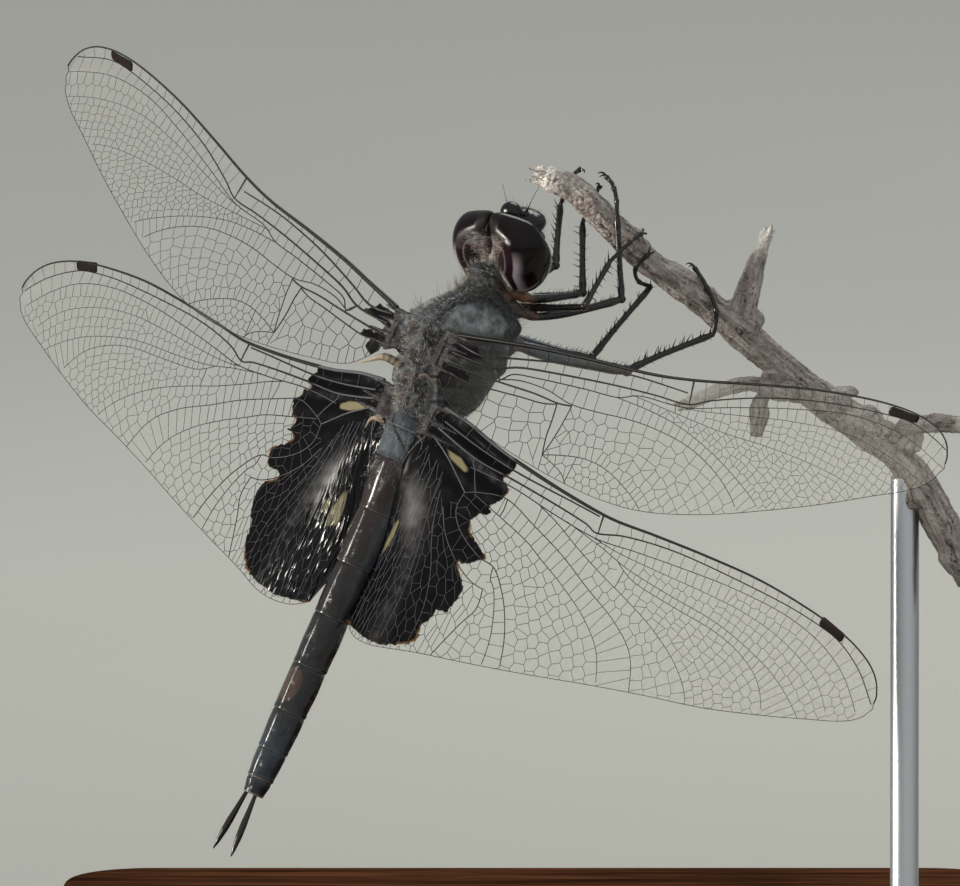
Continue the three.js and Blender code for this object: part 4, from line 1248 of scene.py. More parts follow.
# Head
head = {
    "eyeCentre": (2.05, 0.1, -0.2),
    "eyeRadii": (2.2, 2.35, 3.1),
    "eyeTilt": (9, 14, 7),
    "eyeRear": (-1.2, 29),  # where the slanted back crosses the middle, and its slant
    "seam": 0.04,
    # middle and half sizes of the swellings that melt into the face and the back of the head
    "skull": [
        ((0, -0.05, -0.35), (2, 1.2, 1.75)), ((0, 1.45, 2.5), (0.92, 0.82, 0.92)),
        ((0, 2.5, 1.45), (2.1, 1.6, 1.1)), ((0, 2.15, 0.4), (2.3, 1.35, 0.95)),
        ((0, 1.95, -0.75), (1.85, 1.35, 1.25)), ((0, 0.7, -2), (1.5, 1.45, 1)),
        ((0, 1.8, -1.75), (1.15, 0.9, 0.75)), ((0.75, 1.25, -1.7), (0.85, 1, 1)),
        ((-0.75, 1.25, -1.7), (0.85, 1, 1)), ((0.95, 2, 2.3), (0.3, 0.3, 0.38)),
        ((-0.95, 2, 2.3), (0.3, 0.3, 0.38)), ((0, -1.25, -0.4), (0.45, 0.3, 0.45)),
        ((0, -0.75, 2), (0.2, 0.95, 0.72)),
    ],
    "antennaRoot": (0.98, 2.15, 2.6),
    "antennaReach": (1, 0.75, 2),
}


def eyeBack(across, height):
    # where the back of an eye lies, by the distance from the middle and the height
    middle, slant = head["eyeRear"]
    return middle - tan(radians(slant)) * across + 0.7 * ramp(-height, 1, 2.8)


def barePatch(across, height):
    # the dark patch on the hairy back of an eye
    return bell(across, 1.7, 0.85) * bell(height, -0.15, 0.95)


def eyeShape(sign, rings=110, sides=120):
    polar = np.linspace(0.02, pi - 0.02, rings)[:, None]
    angle = np.linspace(0, 2 * pi, sides, endpoint=False)[None, :]
    globe = np.stack([
        np.sin(polar) * np.cos(angle), np.cos(polar) + 0 * angle, np.sin(polar) * np.sin(angle),
    ], 2)
    # fuller towards the middle, so that the two eyes meet in a long line
    inner = np.clip(-sign * globe[..., 0], 0, 0.995)
    fuller = (1 - inner ** 3.4) ** (1 / 3.4) / np.sqrt(1 - inner ** 2)
    globe[..., 1:] *= fuller[..., None]
    globe *= head["eyeRadii"]
    pitch, roll, yaw = head["eyeTilt"]
    tilt = turn(sign * yaw, "Z") @ turn(sign * roll, "Y") @ turn(pitch, "X")
    globe = globe @ np.array(tilt)[:3, :3].T
    globe += np.array(head["eyeCentre"]) * (sign, 1, 1)
    # drawn up and back beside the seam, where the two eyes meet on the crown
    x, y, z = globe.transpose(2, 0, 1)
    crown = bell(sign * x, 0.1, 1) * bell(z, 2.4, 1.4) * bell(y, -0.3, 1.5)
    globe = globe + crown[..., None] * (-0.6 * sign, -0.8, 1.2)
    across = sign * globe[..., 0]
    across = head["seam"] + np.logaddexp(0, (across - head["seam"]) * 20) / 20  # flat where the two eyes meet
    height = globe[..., 2]
    globe[..., 1] -= ramp(height, -1.6, 2.6) * ramp(globe[..., 1], -0.8, 2.4)  # lower beside the face
    cut = eyeBack(across, height) - 1.2 * ramp(height, 0.8, 3)
    lifted = cut + 0.14 * bell(height, 0, 1.6) * ramp(across, 0.2, 1.2)  # the back is slightly hollow
    depth = globe[..., 1] - lifted
    firm = 8 - 5.8 * ramp(height, 0, 1.8)  # the crown rounds gently over into the back
    globe[..., 1] = lifted + np.logaddexp(0, depth * firm) / firm
    globe[..., 0] = sign * across
    points, faces = closeRings(globe)
    bare = barePatch(across, height)
    # the ridge of the crown is dulled by fine hair, on the right only beside the seam
    seamside = ramp(1.4 - across, 0, 0.6) * ramp(2.6 - depth, 0, 0.8)
    dull = np.maximum(bell(depth, 0.15, 0.8), seamside) * ramp(height, 0.2, 0.8)
    dull *= 1 - ramp(across, 1.6, 2.1) if sign > 0 else 1
    masks = {"behind": np.r_[(-depth).ravel(), -9, 9], "bare": np.r_[bare.ravel(), 0, 0]}
    return points, faces, {**masks, "dull": np.r_[dull.ravel(), 0, 0]}


# Eye: thousands of hard clear facets over dark pigment, maroon-black above, redder below, glossy as lacquer.
def eyeCorneaNodes(add):
    height = add("SeparateXYZ", ["@place"], out="Z")
    upright = add("MapRange", [height, -3.2, 3])
    pigment = add("ValToRGB", [upright], stops=[
        (0, "#160d10"), (0.3, "#11080c"), (0.55, "#0d0609"), (0.8, "#090406"),
    ])
    mottle = add("MapRange", [add("TexNoise", ["@place", 0.7, 2]), 0.4, 0.7, 0, 0.3])
    warm = add("Mix RGBA", [mottle, pigment, "#1c0a0c"])
    parts = add("SeparateXYZ", ["@place"]).node.outputs
    warm = add("Mix RGBA", [add("MapRange", [parts["Y"], 0.9, 2.3, 0, 0.75]), warm, "#2c150c"])
    # low down, a painted pale reflection runs inside the maroon band along the hind margin
    inside = add("MapRange SMOOTHERSTEP", ["@behind", -1.6, -0.6, 0, 0.85])
    pale = add("Math MULTIPLY", [inside, add("MapRange", [height, 0.9, -0.3])])
    warm = add("Mix RGBA", [pale, warm, "#8e858c"])
    # a maroon band runs just inside the hind margin, then a thin pale rim
    banded = add("Mix RGBA", [add("MapRange", ["@behind", -0.62, -0.5]), warm, "#1b0a11"])
    rimmed = add("Mix RGBA", [add("MapRange", ["@behind", -0.02, 0.01]), banded, "#524b4d"])
    blot = add("TexNoise", ["@place", 1.1, 3, 0.6])
    rear = add("ValToRGB", [blot], stops=[
        (0.38, "#0d0a0b"), (0.5, "#3a1218"), (0.56, "#4d4848"), (0.8, "#8a8784"),
    ])
    rear = add("Mix RGBA", [add("MapRange", ["@bare", 0.3, 0.6]), rear, "#150809"])
    colour = add("Mix RGBA", [add("MapRange", ["@behind", 0.05, 0.12]), rimmed, rear])
    rough = add("MapRange", ["@behind", -0.02, 0.1, 0.12, 0.55])
    dulled = add("Math MULTIPLY_ADD", ["@dull", 0.6, rough])
    facets = add("TexVoronoi", ["@place", 16])
    bump = add("Bump", {"Height": facets, "Strength": 0.07, "Distance": 0.00002})
    return {
        "Base Color": colour, "Roughness": dulled, "IOR": 1.38, "Specular IOR Level": 0.32, "Normal": bump,
    }


# Face cuticle: hard chitin, violet-black and glossy on top, orange-brown on the lip, tan at the neck.
def faceCuticleNodes(add):
    parts = add("SeparateXYZ", ["@place"]).node.outputs
    fine = add("TexNoise", ["@place", 6, 3, 0.6])
    cloud = add("TexNoise", ["@place", 1.2, 3])
    height = add("MapRange", [parts["Z"], -3, 3.2])
    face = add("ValToRGB", [height], stops=[
        (0.1, "#2a2220"), (0.3, "#1c1513"), (0.42, "#8d5024"), (0.54, "#6b3a1c"), (0.6, "#0a1613"),
        (0.78, "#0a1413"), (0.84, "#0d0a11"), (1, "#09080c"),
    ])
    front = add("MapRange", [parts["Y"], -0.4, 0.3])
    rear = add("ValToRGB", [cloud], stops=[(0.35, "#4c3d35"), (0.5, "#8c8580"), (0.7, "#c9c2b6")])
    rear = add("Mix RGBA", [add("MapRange", [height, 0.64, 0.72]), rear, "#1a0d0a"])
    colour = add("Mix RGBA", [front, rear, face])
    rough = add("Mix", [front, 0.5, 0.2])
    bump = add("Bump", {"Height": fine, "Strength": 0.25, "Distance": 0.00004})
    return {
        "Base Color": colour, "Roughness": rough, "Specular IOR Level": 0.35, "Normal": bump,
    }


# Ocellus: a small glassy lens, amber-red.
def ocellusGlassNodes(add):
    tint = add("TexNoise", ["@place", 5])
    colour = add("ValToRGB", [tint], stops=[(0.3, "#7a2a12"), (0.7, "#c9652c")])
    return {"Base Color": colour, "Roughness": 0.08, "Coat Weight": 1}


def ballShape(centre, radii, rings=20, sides=24):
    polar = np.linspace(0.03, pi - 0.03, rings)[:, None]
    angle = np.linspace(0, 2 * pi, sides, endpoint=False)[None, :]
    ring = np.sin(polar)
    ball = np.stack([ring * np.cos(angle), ring * np.sin(angle), np.cos(polar) + 0 * angle], 2)
    return closeRings(ball * radii + centre)


def meltShapes(shapes, voxel, rounds=6):
    # melts overlapping closed shapes into one skin, in millimetres
    points, faces = joinShapes(shapes)
    mesh = bpy.data.meshes.new("melt")
    mesh.from_pydata(points.tolist(), [], faces)
    item = newItem("melt", mesh)
    melt = item.modifiers.new("melt", "REMESH")
    melt.mode, melt.voxel_size = "VOXEL", voxel
    soften = item.modifiers.new("soften", "SMOOTH")
    soften.iterations, soften.factor = rounds, 0.5
    applyNodes(item)
    melted = np.zeros(len(item.data.vertices) * 3, np.float32)
    item.data.vertices.foreach_get("co", melted)
    faces = [tuple(face.vertices) for face in item.data.polygons]
    bpy.data.objects.remove(item)
    melted = melted.reshape(-1, 3).astype(float)
    return melted, outward(melted, faces)


def headUnwrap(roots):
    # seen along the neck: across and up, with the front half beside the rear half
    across = roots[:, 0] / 20 + np.where(roots[:, 1] > 0, 0.75, 0.25)
    return np.clip(np.stack([across, roots[:, 2] / 14 + 0.5, 0 * across], 1), 0.01, 0.99)


def makeHead():
    cornea, cuticle = newMaterial("eye cornea", eyeCorneaNodes), newMaterial("face cuticle", faceCuticleNodes)
    draw = np.random.default_rng(29)
    eyes = {}
    for side, sign in (("left", -1), ("right", 1)):
        points, faces, masks = eyeShape(sign)
        eyes[side] = points, faces
        eye = newMesh(f"eyeGlobe_{side}", points, faces, headFrame, **masks)
        settle(eye, cornea, [f"eye_{side}"])
    points, faces = meltShapes([ballShape(*blob) for blob in head["skull"]], 0.07)
    groove = bell(points[:, 2], 0.78, 0.1) * ramp(points[:, 1], 1.2, 1.8)
    groove += bell(points[:, 2], -0.25, 0.08) * ramp(points[:, 1], 1.6, 2.2)
    groove += bell(points[:, 2], -1.35, 0.08) * ramp(points[:, 1], 1.4, 2)
    groove += 0.7 * bell(points[:, 0], 0, 0.1) * bell(points[:, 2], 1.5, 0.5) * ramp(points[:, 1], 1.8, 2.3)
    centre = np.array((0, 0.6, 0))
    spoke = (points - centre) / norm(points - centre, axis=1)[:, None]
    points = points - spoke * (groove * 0.1)[:, None] + spoke * (ripple(points, 0.5, 31) * 0.012)[:, None]
    settle(newMesh("headCapsule", points, faces, headFrame), cuticle, ["head"])
    lens = newMaterial("ocellus lens", ocellusGlassNodes)
    shapes = [ballShape((0, 2.02, 2.02), (0.2, 0.16, 0.2)), *[
        ballShape((sign * 0.7, 1.72, 2.35), (0.15, 0.16, 0.17)) for sign in (-1, 1)
    ]]
    settle(newMesh("ocelli", *joinShapes(shapes), headFrame), lens)
    for side, sign in (("left", -1), ("right", 1)):
        root, reach = np.array(head["antennaRoot"]), np.array(head["antennaReach"])
        rows = [(root + reach * (t, t, t * (1.15 - 0.15 * t))) * (sign, 1, 1) for t in (0, 0.14, 0.4, 0.7, 1)]
        line = smoothLine(rows, 40)
        rings = tubeRings(line, [0.13, 0.11, 0.08, 0.045, 0.034, 0.03, 0.028, 0.026, 0.024, 0.02, 0.012], 12)
        feeler = newMesh(f"feeler_{side}", *closeRings(rings), headFrame)
        settle(feeler, legChitin, [f"antenna_{side}"])

    # pale hair combed outwards over the back of the head
    coats = []
    for side, sign in (("left", -1), ("right", 1)):

        def rearWeight(p, sign=sign):
            across, height = sign * p[:, 0], p[:, 2]
            behind = ramp(eyeBack(across, height) + 0.22 - p[:, 1], 0, 0.1) * (height < 1.9)
            return behind * np.clip(1 - 1.6 * barePatch(across, height), 0.01, 1) * ramp(2.7 - across, 0, 0.6)

        roots, normal = growRoots(*eyes[side], 1300, rearWeight, draw)
        comb = np.stack([sign * 0.9 + 0 * roots[:, 0], -0.1 + 0 * roots[:, 0], -0.25 + roots[:, 2] * 0.22], 1)
        coats.append((roots, normal * 0.5 + comb * 0.9 + draw.normal(0, 0.16, roots.shape)))
    roots, normal = growRoots(points, faces, 900, lambda p: ramp(-p[:, 1], 0.6, 1) * (p[:, 2] < 1.6), draw)
    comb = np.stack([np.sign(roots[:, 0]) * 0.6, -0.3 + 0 * roots[:, 0], roots[:, 2] * 0.2], 1)
    coats.append((roots, normal * 0.6 + comb + draw.normal(0, 0.2, roots.shape)))
    roots, lean = np.vstack([c[0] for c in coats]), np.vstack([c[1] for c in coats])
    growHair("headCoat", roots, lean, draw.uniform(0.25, 0.52, len(roots)), headFrame,
             ("grey head hair", "#8f8c86", "#e4e0d6"), "head", headUnwrap(roots),
             width=0.018, bend=0.25, spread=0.1, seed=13)
    roots, normal = growRoots(points, faces, 420, lambda p: ramp(p[:, 1], 0.9, 1.6), draw)
    growHair("faceCoat", roots, normal + draw.normal(0, 0.15, roots.shape) + np.array((0, 0, 0.35)),
             draw.uniform(0.25, 0.5, len(roots)), headFrame, ("dark face hair", "#120e0c", "#2c221a"),
             "head", headUnwrap(roots), width=0.02, bend=0.2, spread=0.15, seed=15)
    print("stage: head made")


# Legs: points from the hip to the claw, in the frame of the perch
legs = {
    "fore_left": {
        "line": [(5.6, 3.7, 8.4), (10.2, 5, 10.3), (10.6, 8.9, 15)],
        "foot": [(11.1, 9.5, 16.3), (11.7, 9.3, 17.4), (12.1, 8.7, 17.7)],
        "thickness": (0.75, 0.55, 0.42),
    },
    "fore_right": {
        "line": [(8, 2.45, 7.75), (12.3, 5.4, 8.2), (12.3, 8.7, 13.6)],
        "foot": [(12.7, 9.7, 14.7), (13.4, 9.6, 16), (13.6, 8.9, 16.4)],
        "thickness": (0.75, 0.55, 0.42),
    },
    "middle_left": {
        "line": [(6, 4.9, 7.2), (12.4, 1.3, 7.1), (14.4, 4.9, 10.6)],
        "foot": [(15.3, 5.2, 11.5), (16.2, 6.1, 12.3), (16.9, 6.75, 12.8)],
        "thickness": (0.62, 0.48, 0.4),
    },
    "middle_right": {
        "line": [(8.5, 3.2, 6.3), (15.3, 5.6, 7.7), (14.95, 6.6, 14.3)],
        "foot": [(14.9, 7.2, 15.5), (14.6, 8, 16.6), (14.1, 8.5, 17.2)],
        "thickness": (0.7, 0.5, 0.42),
    },
    "hind_left": {
        "line": [(5.2, 5.5, 5.3), (13, 7.3, 3.2), (17.6, 9.6, 8.7)],
        "foot": [(16.6, 8.6, 9.1), (16.4, 7.4, 10.1), (17.4, 7, 11.2)],
        "thickness": (0.8, 0.52, 0.42),
    },
    "hind_right": {
        "line": [(7.3, 2.6, 4.15), (15.7, 5.2, 2.2), (22.4, 8.1, 5)],
        "foot": [(22.6, 8, 6.8), (21.8, 8.2, 8.8), (20.9, 9.2, 10.2)],
        "thickness": (0.98, 0.55, 0.42),
    },
}


# Leg chitin: hard polished tubes, black-brown, with a slate bloom on the thighs.
def legChitinNodes(add):
    fine = add("TexNoise", ["@place", 5, 3, 0.6])
    cloud = add("TexNoise", ["@place", 1.1, 3])
    black = add("ValToRGB", [fine], stops=[(0.3, "#0b0a0b"), (0.7, "#251d1a")])
    dust = add("Math MULTIPLY", ["@bloom", cloud])
    slate = add("Mix RGBA", [dust, black, "#657280"])
    colour = add("Mix RGBA", ["@tan", slate, "#7a5237"])
    rough = add("Math MULTIPLY_ADD", [dust, 0.4, 0.16])
    bump = add("Bump", {"Height": fine, "Strength": 0.2, "Distance": 0.00004})
    return {"Base Color": colour, "Roughness": rough, "Normal": bump}


legChitin = newMaterial("leg chitin", legChitinNodes)


def limbShape(line, radii, sides=16, ridge=0.05):
    # a tube that is faintly three-sided, with a rounded end
    rings = tubeRings(line, radii, sides)
    middle = rings.mean(1, keepdims=True)
    angle = np.linspace(0, 2 * pi, sides, endpoint=False)
    rings = middle + (rings - middle) * (1 + ridge * np.cos(3 * angle))[None, :, None]
    return closeRings(rings)


def spineRows(draw, line, radius, spacing, reach, directions, start=0.12, end=0.97):
    # roots, directions and lengths of the spines that stand in rows along a limb
    along = carryFrames(line)[0]
    length = norm(np.diff(line, axis=0), axis=1).sum()
    count = max(2, int(length * (end - start) / spacing))
    roots, lean, size = [], [], []
    for direction in directions:
        for share in np.linspace(start, end, count) + draw.normal(0, 0.25 / count, count):
            at = np.clip(share, 0, 1) * (len(line) - 1)
            low = min(int(at), len(line) - 2)
            point = line[low] + (line[low + 1] - line[low]) * (at - low)
            across = np.asarray(direction, float) - along[low] * (np.asarray(direction) @ along[low])
            across /= norm(across)
            roots.append(point + across * radius * 0.85)
            lean.append(across + along[low] * 0.55 + draw.normal(0, 0.07, 3))
            size.append(reach * draw.uniform(0.75, 1.15))
    return roots, lean, size


def makeLegs():
    draw = np.random.default_rng(41)
    toBody = bodyTurn().inverted()
    roots, lean, size, hips = [], [], [], []
    for name, leg in legs.items():
        hip, knee, ankle = (np.array(p) for p in leg["line"])
        thigh, shin, foot = (t / 2 for t in leg["thickness"])
        # the hip comes out of the thorax below
        inBody = np.array(toBody @ Vector(hip))
        inward = np.array((inBody[0] * 0.35, inBody[1] - 0.1, -3.4)) - inBody
        inward *= 2.6 / norm(inward)
        source = hip + np.array(bodyTurn().to_3x3() @ Vector(inward))
        bow = np.cross(knee - hip, ankle - knee)
        bow = np.cross(bow / norm(bow), knee - hip) * 0.02
        rows = [hip, (hip * 0.65 + knee * 0.35) - bow, (hip * 0.3 + knee * 0.7) - bow, knee]
        thighLine = smoothLine(rows, 60, True)
        femur = limbShape(thighLine, [thigh * r for r in (0.8, 1.05, 1.12, 1.1, 1, 0.9, 0.86, 0.95, 0.7)])
        hipLine = smoothLine([source, source * 0.45 + hip * 0.55, hip + (knee - hip) * 0.04], 24)
        coxa = limbShape(hipLine, [thigh * r for r in (2.3, 2.3, 1.8, 1.15, 1.25, 0.9)], ridge=0.02)
        hips.append(growRoots(*coxa, 170, lambda p: 1 + 0 * p[:, 0], draw))
        points, faces = joinShapes([femur, coxa])
        away = norm(points - hip, axis=1)
        isCoxa = np.r_[np.zeros(len(femur[0])), np.ones(len(coxa[0]))]
        bloomed = (0.95 if name.startswith("hind") else 0.12) * ramp(-away, -8.5, -3)
        kneeTan, hipTan = (0.6, 0.7) if name.startswith("fore") else (0.25, 0.15)
        tanned = np.clip(ramp(-away, -0.9, -0.2) * kneeTan + isCoxa * hipTan, 0, 0.95)
        piece = newMesh(f"thigh_{name}", points, faces, perchFrame, bloom=bloomed, tan=tanned)
        settle(piece, legChitin, [f"femur_{name}"])
        shinLine = smoothLine([knee, knee * 0.6 + ankle * 0.4 + bow * 0.6, ankle], 60, True)
        radii = [shin * r for r in (0.9, 1.15, 0.95, 0.88, 0.85, 0.85, 0.85, 0.9, 1, 0.7)]
        tibia = limbShape(shinLine, radii)
        joint = ballShape(knee, (thigh * 0.95,) * 3, 14, 16)
        points, faces = joinShapes([tibia, joint])
        settle(newMesh(f"shin_{name}", points, faces, perchFrame), legChitin, [f"tibia_{name}"])
        path = [ankle, *(np.array(p) for p in leg["foot"])]
        footLine = smoothLine(path, 60, True)
        share = np.linspace(0, 1, 61)
        knuckle = 0.78 + 0.22 * np.exp(-(((share * 3) % 1 - 0.9) / 0.16) ** 2)
        shapes = [limbShape(footLine, foot * knuckle, 12, 0.02)]
        last = path[-1] - path[-2]
        last /= norm(last)
        toTwig = nearestOnTwig(path[-1]) - path[-1]
        toTwig -= last * (toTwig @ last)
        toTwig /= norm(toTwig) + 1e-9
        sideways = np.cross(last, toTwig)
        for sign in (-1, 1):
            claw = smoothLine([
                path[-1] - last * 0.1,
                path[-1] + last * 0.22 + sideways * sign * 0.14,
                path[-1] + last * 0.42 + sideways * sign * 0.24 + toTwig * 0.16,
                path[-1] + last * 0.46 + sideways * sign * 0.27 + toTwig * 0.42,
            ], 20)
            shapes.append(limbShape(claw, [0.1, 0.095, 0.08, 0.05, 0.012], 10, 0))
        points, faces = joinShapes(shapes)
        settle(newMesh(f"foot_{name}", points, faces, perchFrame), legChitin, [f"tarsus_{name}"])
        bend = np.cross(knee - hip, ankle - knee)
        inside = np.cross(bend, knee - hip)
        inside /= norm(inside)
        tilt = bend / norm(bend) * 0.6
        inner, soles = (inside + tilt, inside - tilt), (toTwig + sideways * 0.5, toTwig - sideways * 0.5)
        for row in (
            (thighLine, thigh, 0.36, 0.46, inner),
            (shinLine, shin * 0.9, 0.6, 0.9, inner),
            (shinLine, shin * 0.9, 0.8, 0.45, [tilt - inside]),
            (footLine, foot * 0.8, 0.3, 0.26, soles, 0.05),
        ):
            for kept, new in zip((roots, lean, size), spineRows(draw, *row)):
                kept += new
    turned = np.array(lean) @ np.array(perchFrame)[:3, :3].T * 1000
    item = newMesh("legSpines", np.array(roots), [], perchFrame, lean=turned, reach=np.array(size) * 0.001)
    runTree(item, bristleTree, material=legChitin, width=0.07, sides=6, steps=4, bend=0.1,
            spread=0.04, seed=4)
    settle(item, legChitin)
    hipRoots, normal = (np.vstack([h[i] for h in hips]) for i in (0, 1))
    lean = normal + draw.normal(0, 0.3, normal.shape)
    unwrap = np.clip(hipRoots * (0.08, 0.08, 0) + (0, 0.1, 0), 0.01, 0.99)
    growHair("hipCoat", hipRoots, lean, draw.uniform(0.3, 0.8, len(hipRoots)), perchFrame,
             ("tan hip hair", "#6f5a45", "#d9c9ae"), "limb", unwrap, width=0.014, bend=0.2,
             spread=0.1, seed=25)
    print("stage: legs made")


# Perch: a broken twig with its stubs
twig = {
    "line": [
        (9.5, 7.6, 17.1), (11.6, 7.8, 16.2), (14.5, 8.2, 13.4), (17.5, 8.7, 10.5), (20.5, 9.2, 8.5),
        (24.4, 9.8, 5.3), (27.2, 10.2, 2.9), (31.7, 10.8, -0.7), (34.6, 11.2, -2.6), (36.8, 11.5, -4.6),
        (38.8, 11.8, -7.3), (40.4, 12, -10.2), (42.4, 12.3, -14),
    ],
    "radius": [0.95, 1.12, 1.12, 1.15, 1.2, 1.35, 1.15, 1.3, 1.45, 1.3, 1.3, 1.4, 1.2],
}
offshoots = {
    "perch_stub": ([(24.8, 9.6, 7.4), (25.5, 9.4, 9.8), (26.4, 9.2, 12.5)], [0.95, 0.75, 0.4]),
    "perch_splinter": ([(27.7, 8.7, 0.5), (24.8, 8.4, 1.2), (20.4, 8.1, -0.3)], [0.6, 0.6, 0.45]),
    "perch_bud": ([(26, 9, -0.2), (25.9, 9, -1.4), (25.7, 8.9, -2.9)], [0.5, 0.75, 0.45]),
    "perch_side": ([(37.5, 10, -2.1), (39.2, 9.7, -1.9), (42, 9.4, -2)], [0.75, 0.75, 0.6]),
}
# lumps of lichen and old bud scars: place and size
lumps = [
    ((32.6, 10.2, 0.55), (0.95, 0.7, 0.5)), ((34.4, 10.6, -1.25), (1.25, 0.8, 0.75)),
    ((35.9, 10.7, -2.3), (0.8, 0.7, 0.6)), ((27.2, 9.9, 1.2), (1.3, 0.9, 1.4)),
    ((28.9, 9.8, 0.7), (1.6, 0.8, 0.9)), ((25.1, 9.6, 6.1), (1.2, 1, 1.2)),
    ((16.2, 7.9, 12.6), (0.8, 0.6, 0.8)), ((21.8, 8.8, 8.1), (0.9, 0.7, 0.7)),
    ((37.6, 10.5, -3.2), (1.1, 0.9, 1)), ((41.4, 11.8, -12.3), (1.5, 1.2, 1.3)),
    ((12.6, 7.4, 15.6), (0.7, 0.55, 0.6)), ((38, 11.2, -7.6), (0.9, 0.9, 0.9)),
]
# the line that breaks off, its radius, the count and reach of its slivers, and how far back the wood is bare
brokenEnds = [
    (twig["line"][::-1], 0.95, 24, 1.7, 2), (twig["line"], 1.15, 12, 0.9, 0.8),
    (offshoots["perch_stub"][0], 0.5, 14, 1.2, 2.2), (offshoots["perch_splinter"][0], 0.45, 12, 1.4, 6.5),
    (offshoots["perch_side"][0], 0.6, 8, 0.9, 1.4),
]
twigLine = smoothLine(twig["line"], 300)


def nearestOnTwig(point):
    return twigLine[norm(twigLine - point, axis=1).argmin()]


def barkLump(centre, size, seed):
    # an irregular lump of bark or lichen
    points, faces = ballShape((0, 0, 0), (1, 1, 1), 14, 18)
    points = points * (1 + ripple(points, 0.9, seed) * 0.16)[:, None] * size
    return points + np.array(centre), faces


def barkTube(line, radii, seed, sides=40, steps=160):
    # a rough tube: swellings along it and flats around it
    spine = smoothLine(line, steps, True)
    rings = tubeRings(spine, radii, sides)
    flat = rings.reshape(-1, 3)
    lumps = ripple(flat, 3.2, seed) * 0.07 + ripple(flat, 1.2, seed + 1) * 0.05
    middle = rings.mean(1, keepdims=True)
    rings = middle + (rings - middle) * (1 + lumps.reshape(rings.shape[:2]))[..., None]
    return closeRings(rings)


# Bark: dead and weathered, ash grey over red-brown, cracked along its length, with pale lichen crusts.
def barkNodes(add):
    broad = add("TexNoise", ["@place", 0.35, 4, 0.6])
    streak = add("TexNoise", ["@grain", 1.6, 6, 0.72])
    fine = add("TexNoise", ["@place", 4, 5, 0.75])
    ash = add("ValToRGB", [streak], stops=[
        (0.3, "#645a56"), (0.42, "#9b908a"), (0.53, "#bdb3ac"), (0.66, "#e4dcd5"),
    ])
    earthy = add("Mix RGBA", [add("MapRange", [broad, 0.5, 0.64, 0, 0.4]), ash, "#8d7269"])
    dotted = add("Math MULTIPLY", [add("MapRange", [fine, 0.5, 0.68]), "@lichen"])
    peeled = add("Mix RGBA", ["@bare", add("Mix RGBA", [dotted, earthy, "#eeebe4"]), "#f6f0e7"])
    colour = add("Mix RGBA", ["@crack", peeled, "#2a2220"])
    rough = add("MapRange", [fine, 0, 1, 0.55, 0.95])
    coarse = add("Bump", {"Height": streak, "Strength": 0.8, "Distance": 0.0003})
    grit = add("TexVoronoi", ["@place", 3.2])
    grainy = add("Bump", {"Height": grit, "Strength": 0.8, "Distance": 0.0003, "Normal": coarse})
    bump = add("Bump", {"Height": fine, "Strength": 0.9, "Distance": 0.00025, "Normal": grainy})
    return {"Base Color": colour, "Roughness": rough, "Normal": bump}


def barkGrain(points):
    # for each point: how far along its branch it lies, and its unrolled place round it
    lines = [twigLine, *[smoothLine(line, 60) for line, _ in offshoots.values()]]
    best = np.full(len(points), 99.0)
    grain = np.zeros((len(points), 3))
    spoke = np.zeros((len(points), 3))
    for order, line in enumerate(lines):
        along, side, up = carryFrames(line)
        length = np.r_[0, np.cumsum(norm(np.diff(line, axis=0), axis=1))]
        near = np.zeros(len(points), int)
        far = np.full(len(points), 99.0)
        for index, place in enumerate(line):
            distance = norm(points - place, axis=1)
            closer = distance < far
            near[closer], far[closer] = index, distance[closer]
        apart = points - line[near]
        x, y = (apart * side[near]).sum(1), (apart * up[near]).sum(1)
        angle = np.arctan2(y, x)
        take = far < best
        best[take] = far[take]
        unrolled = np.stack([np.cos(angle) * 1.3, np.sin(angle) * 1.3, length[near] * 0.22 + order * 7], 1)
        across = apart - along[near] * (apart * along[near]).sum(1)[:, None]
        grain[take], spoke[take] = unrolled[take], across[take]
    return grain, spoke / (norm(spoke, axis=1)[:, None] + 1e-9)


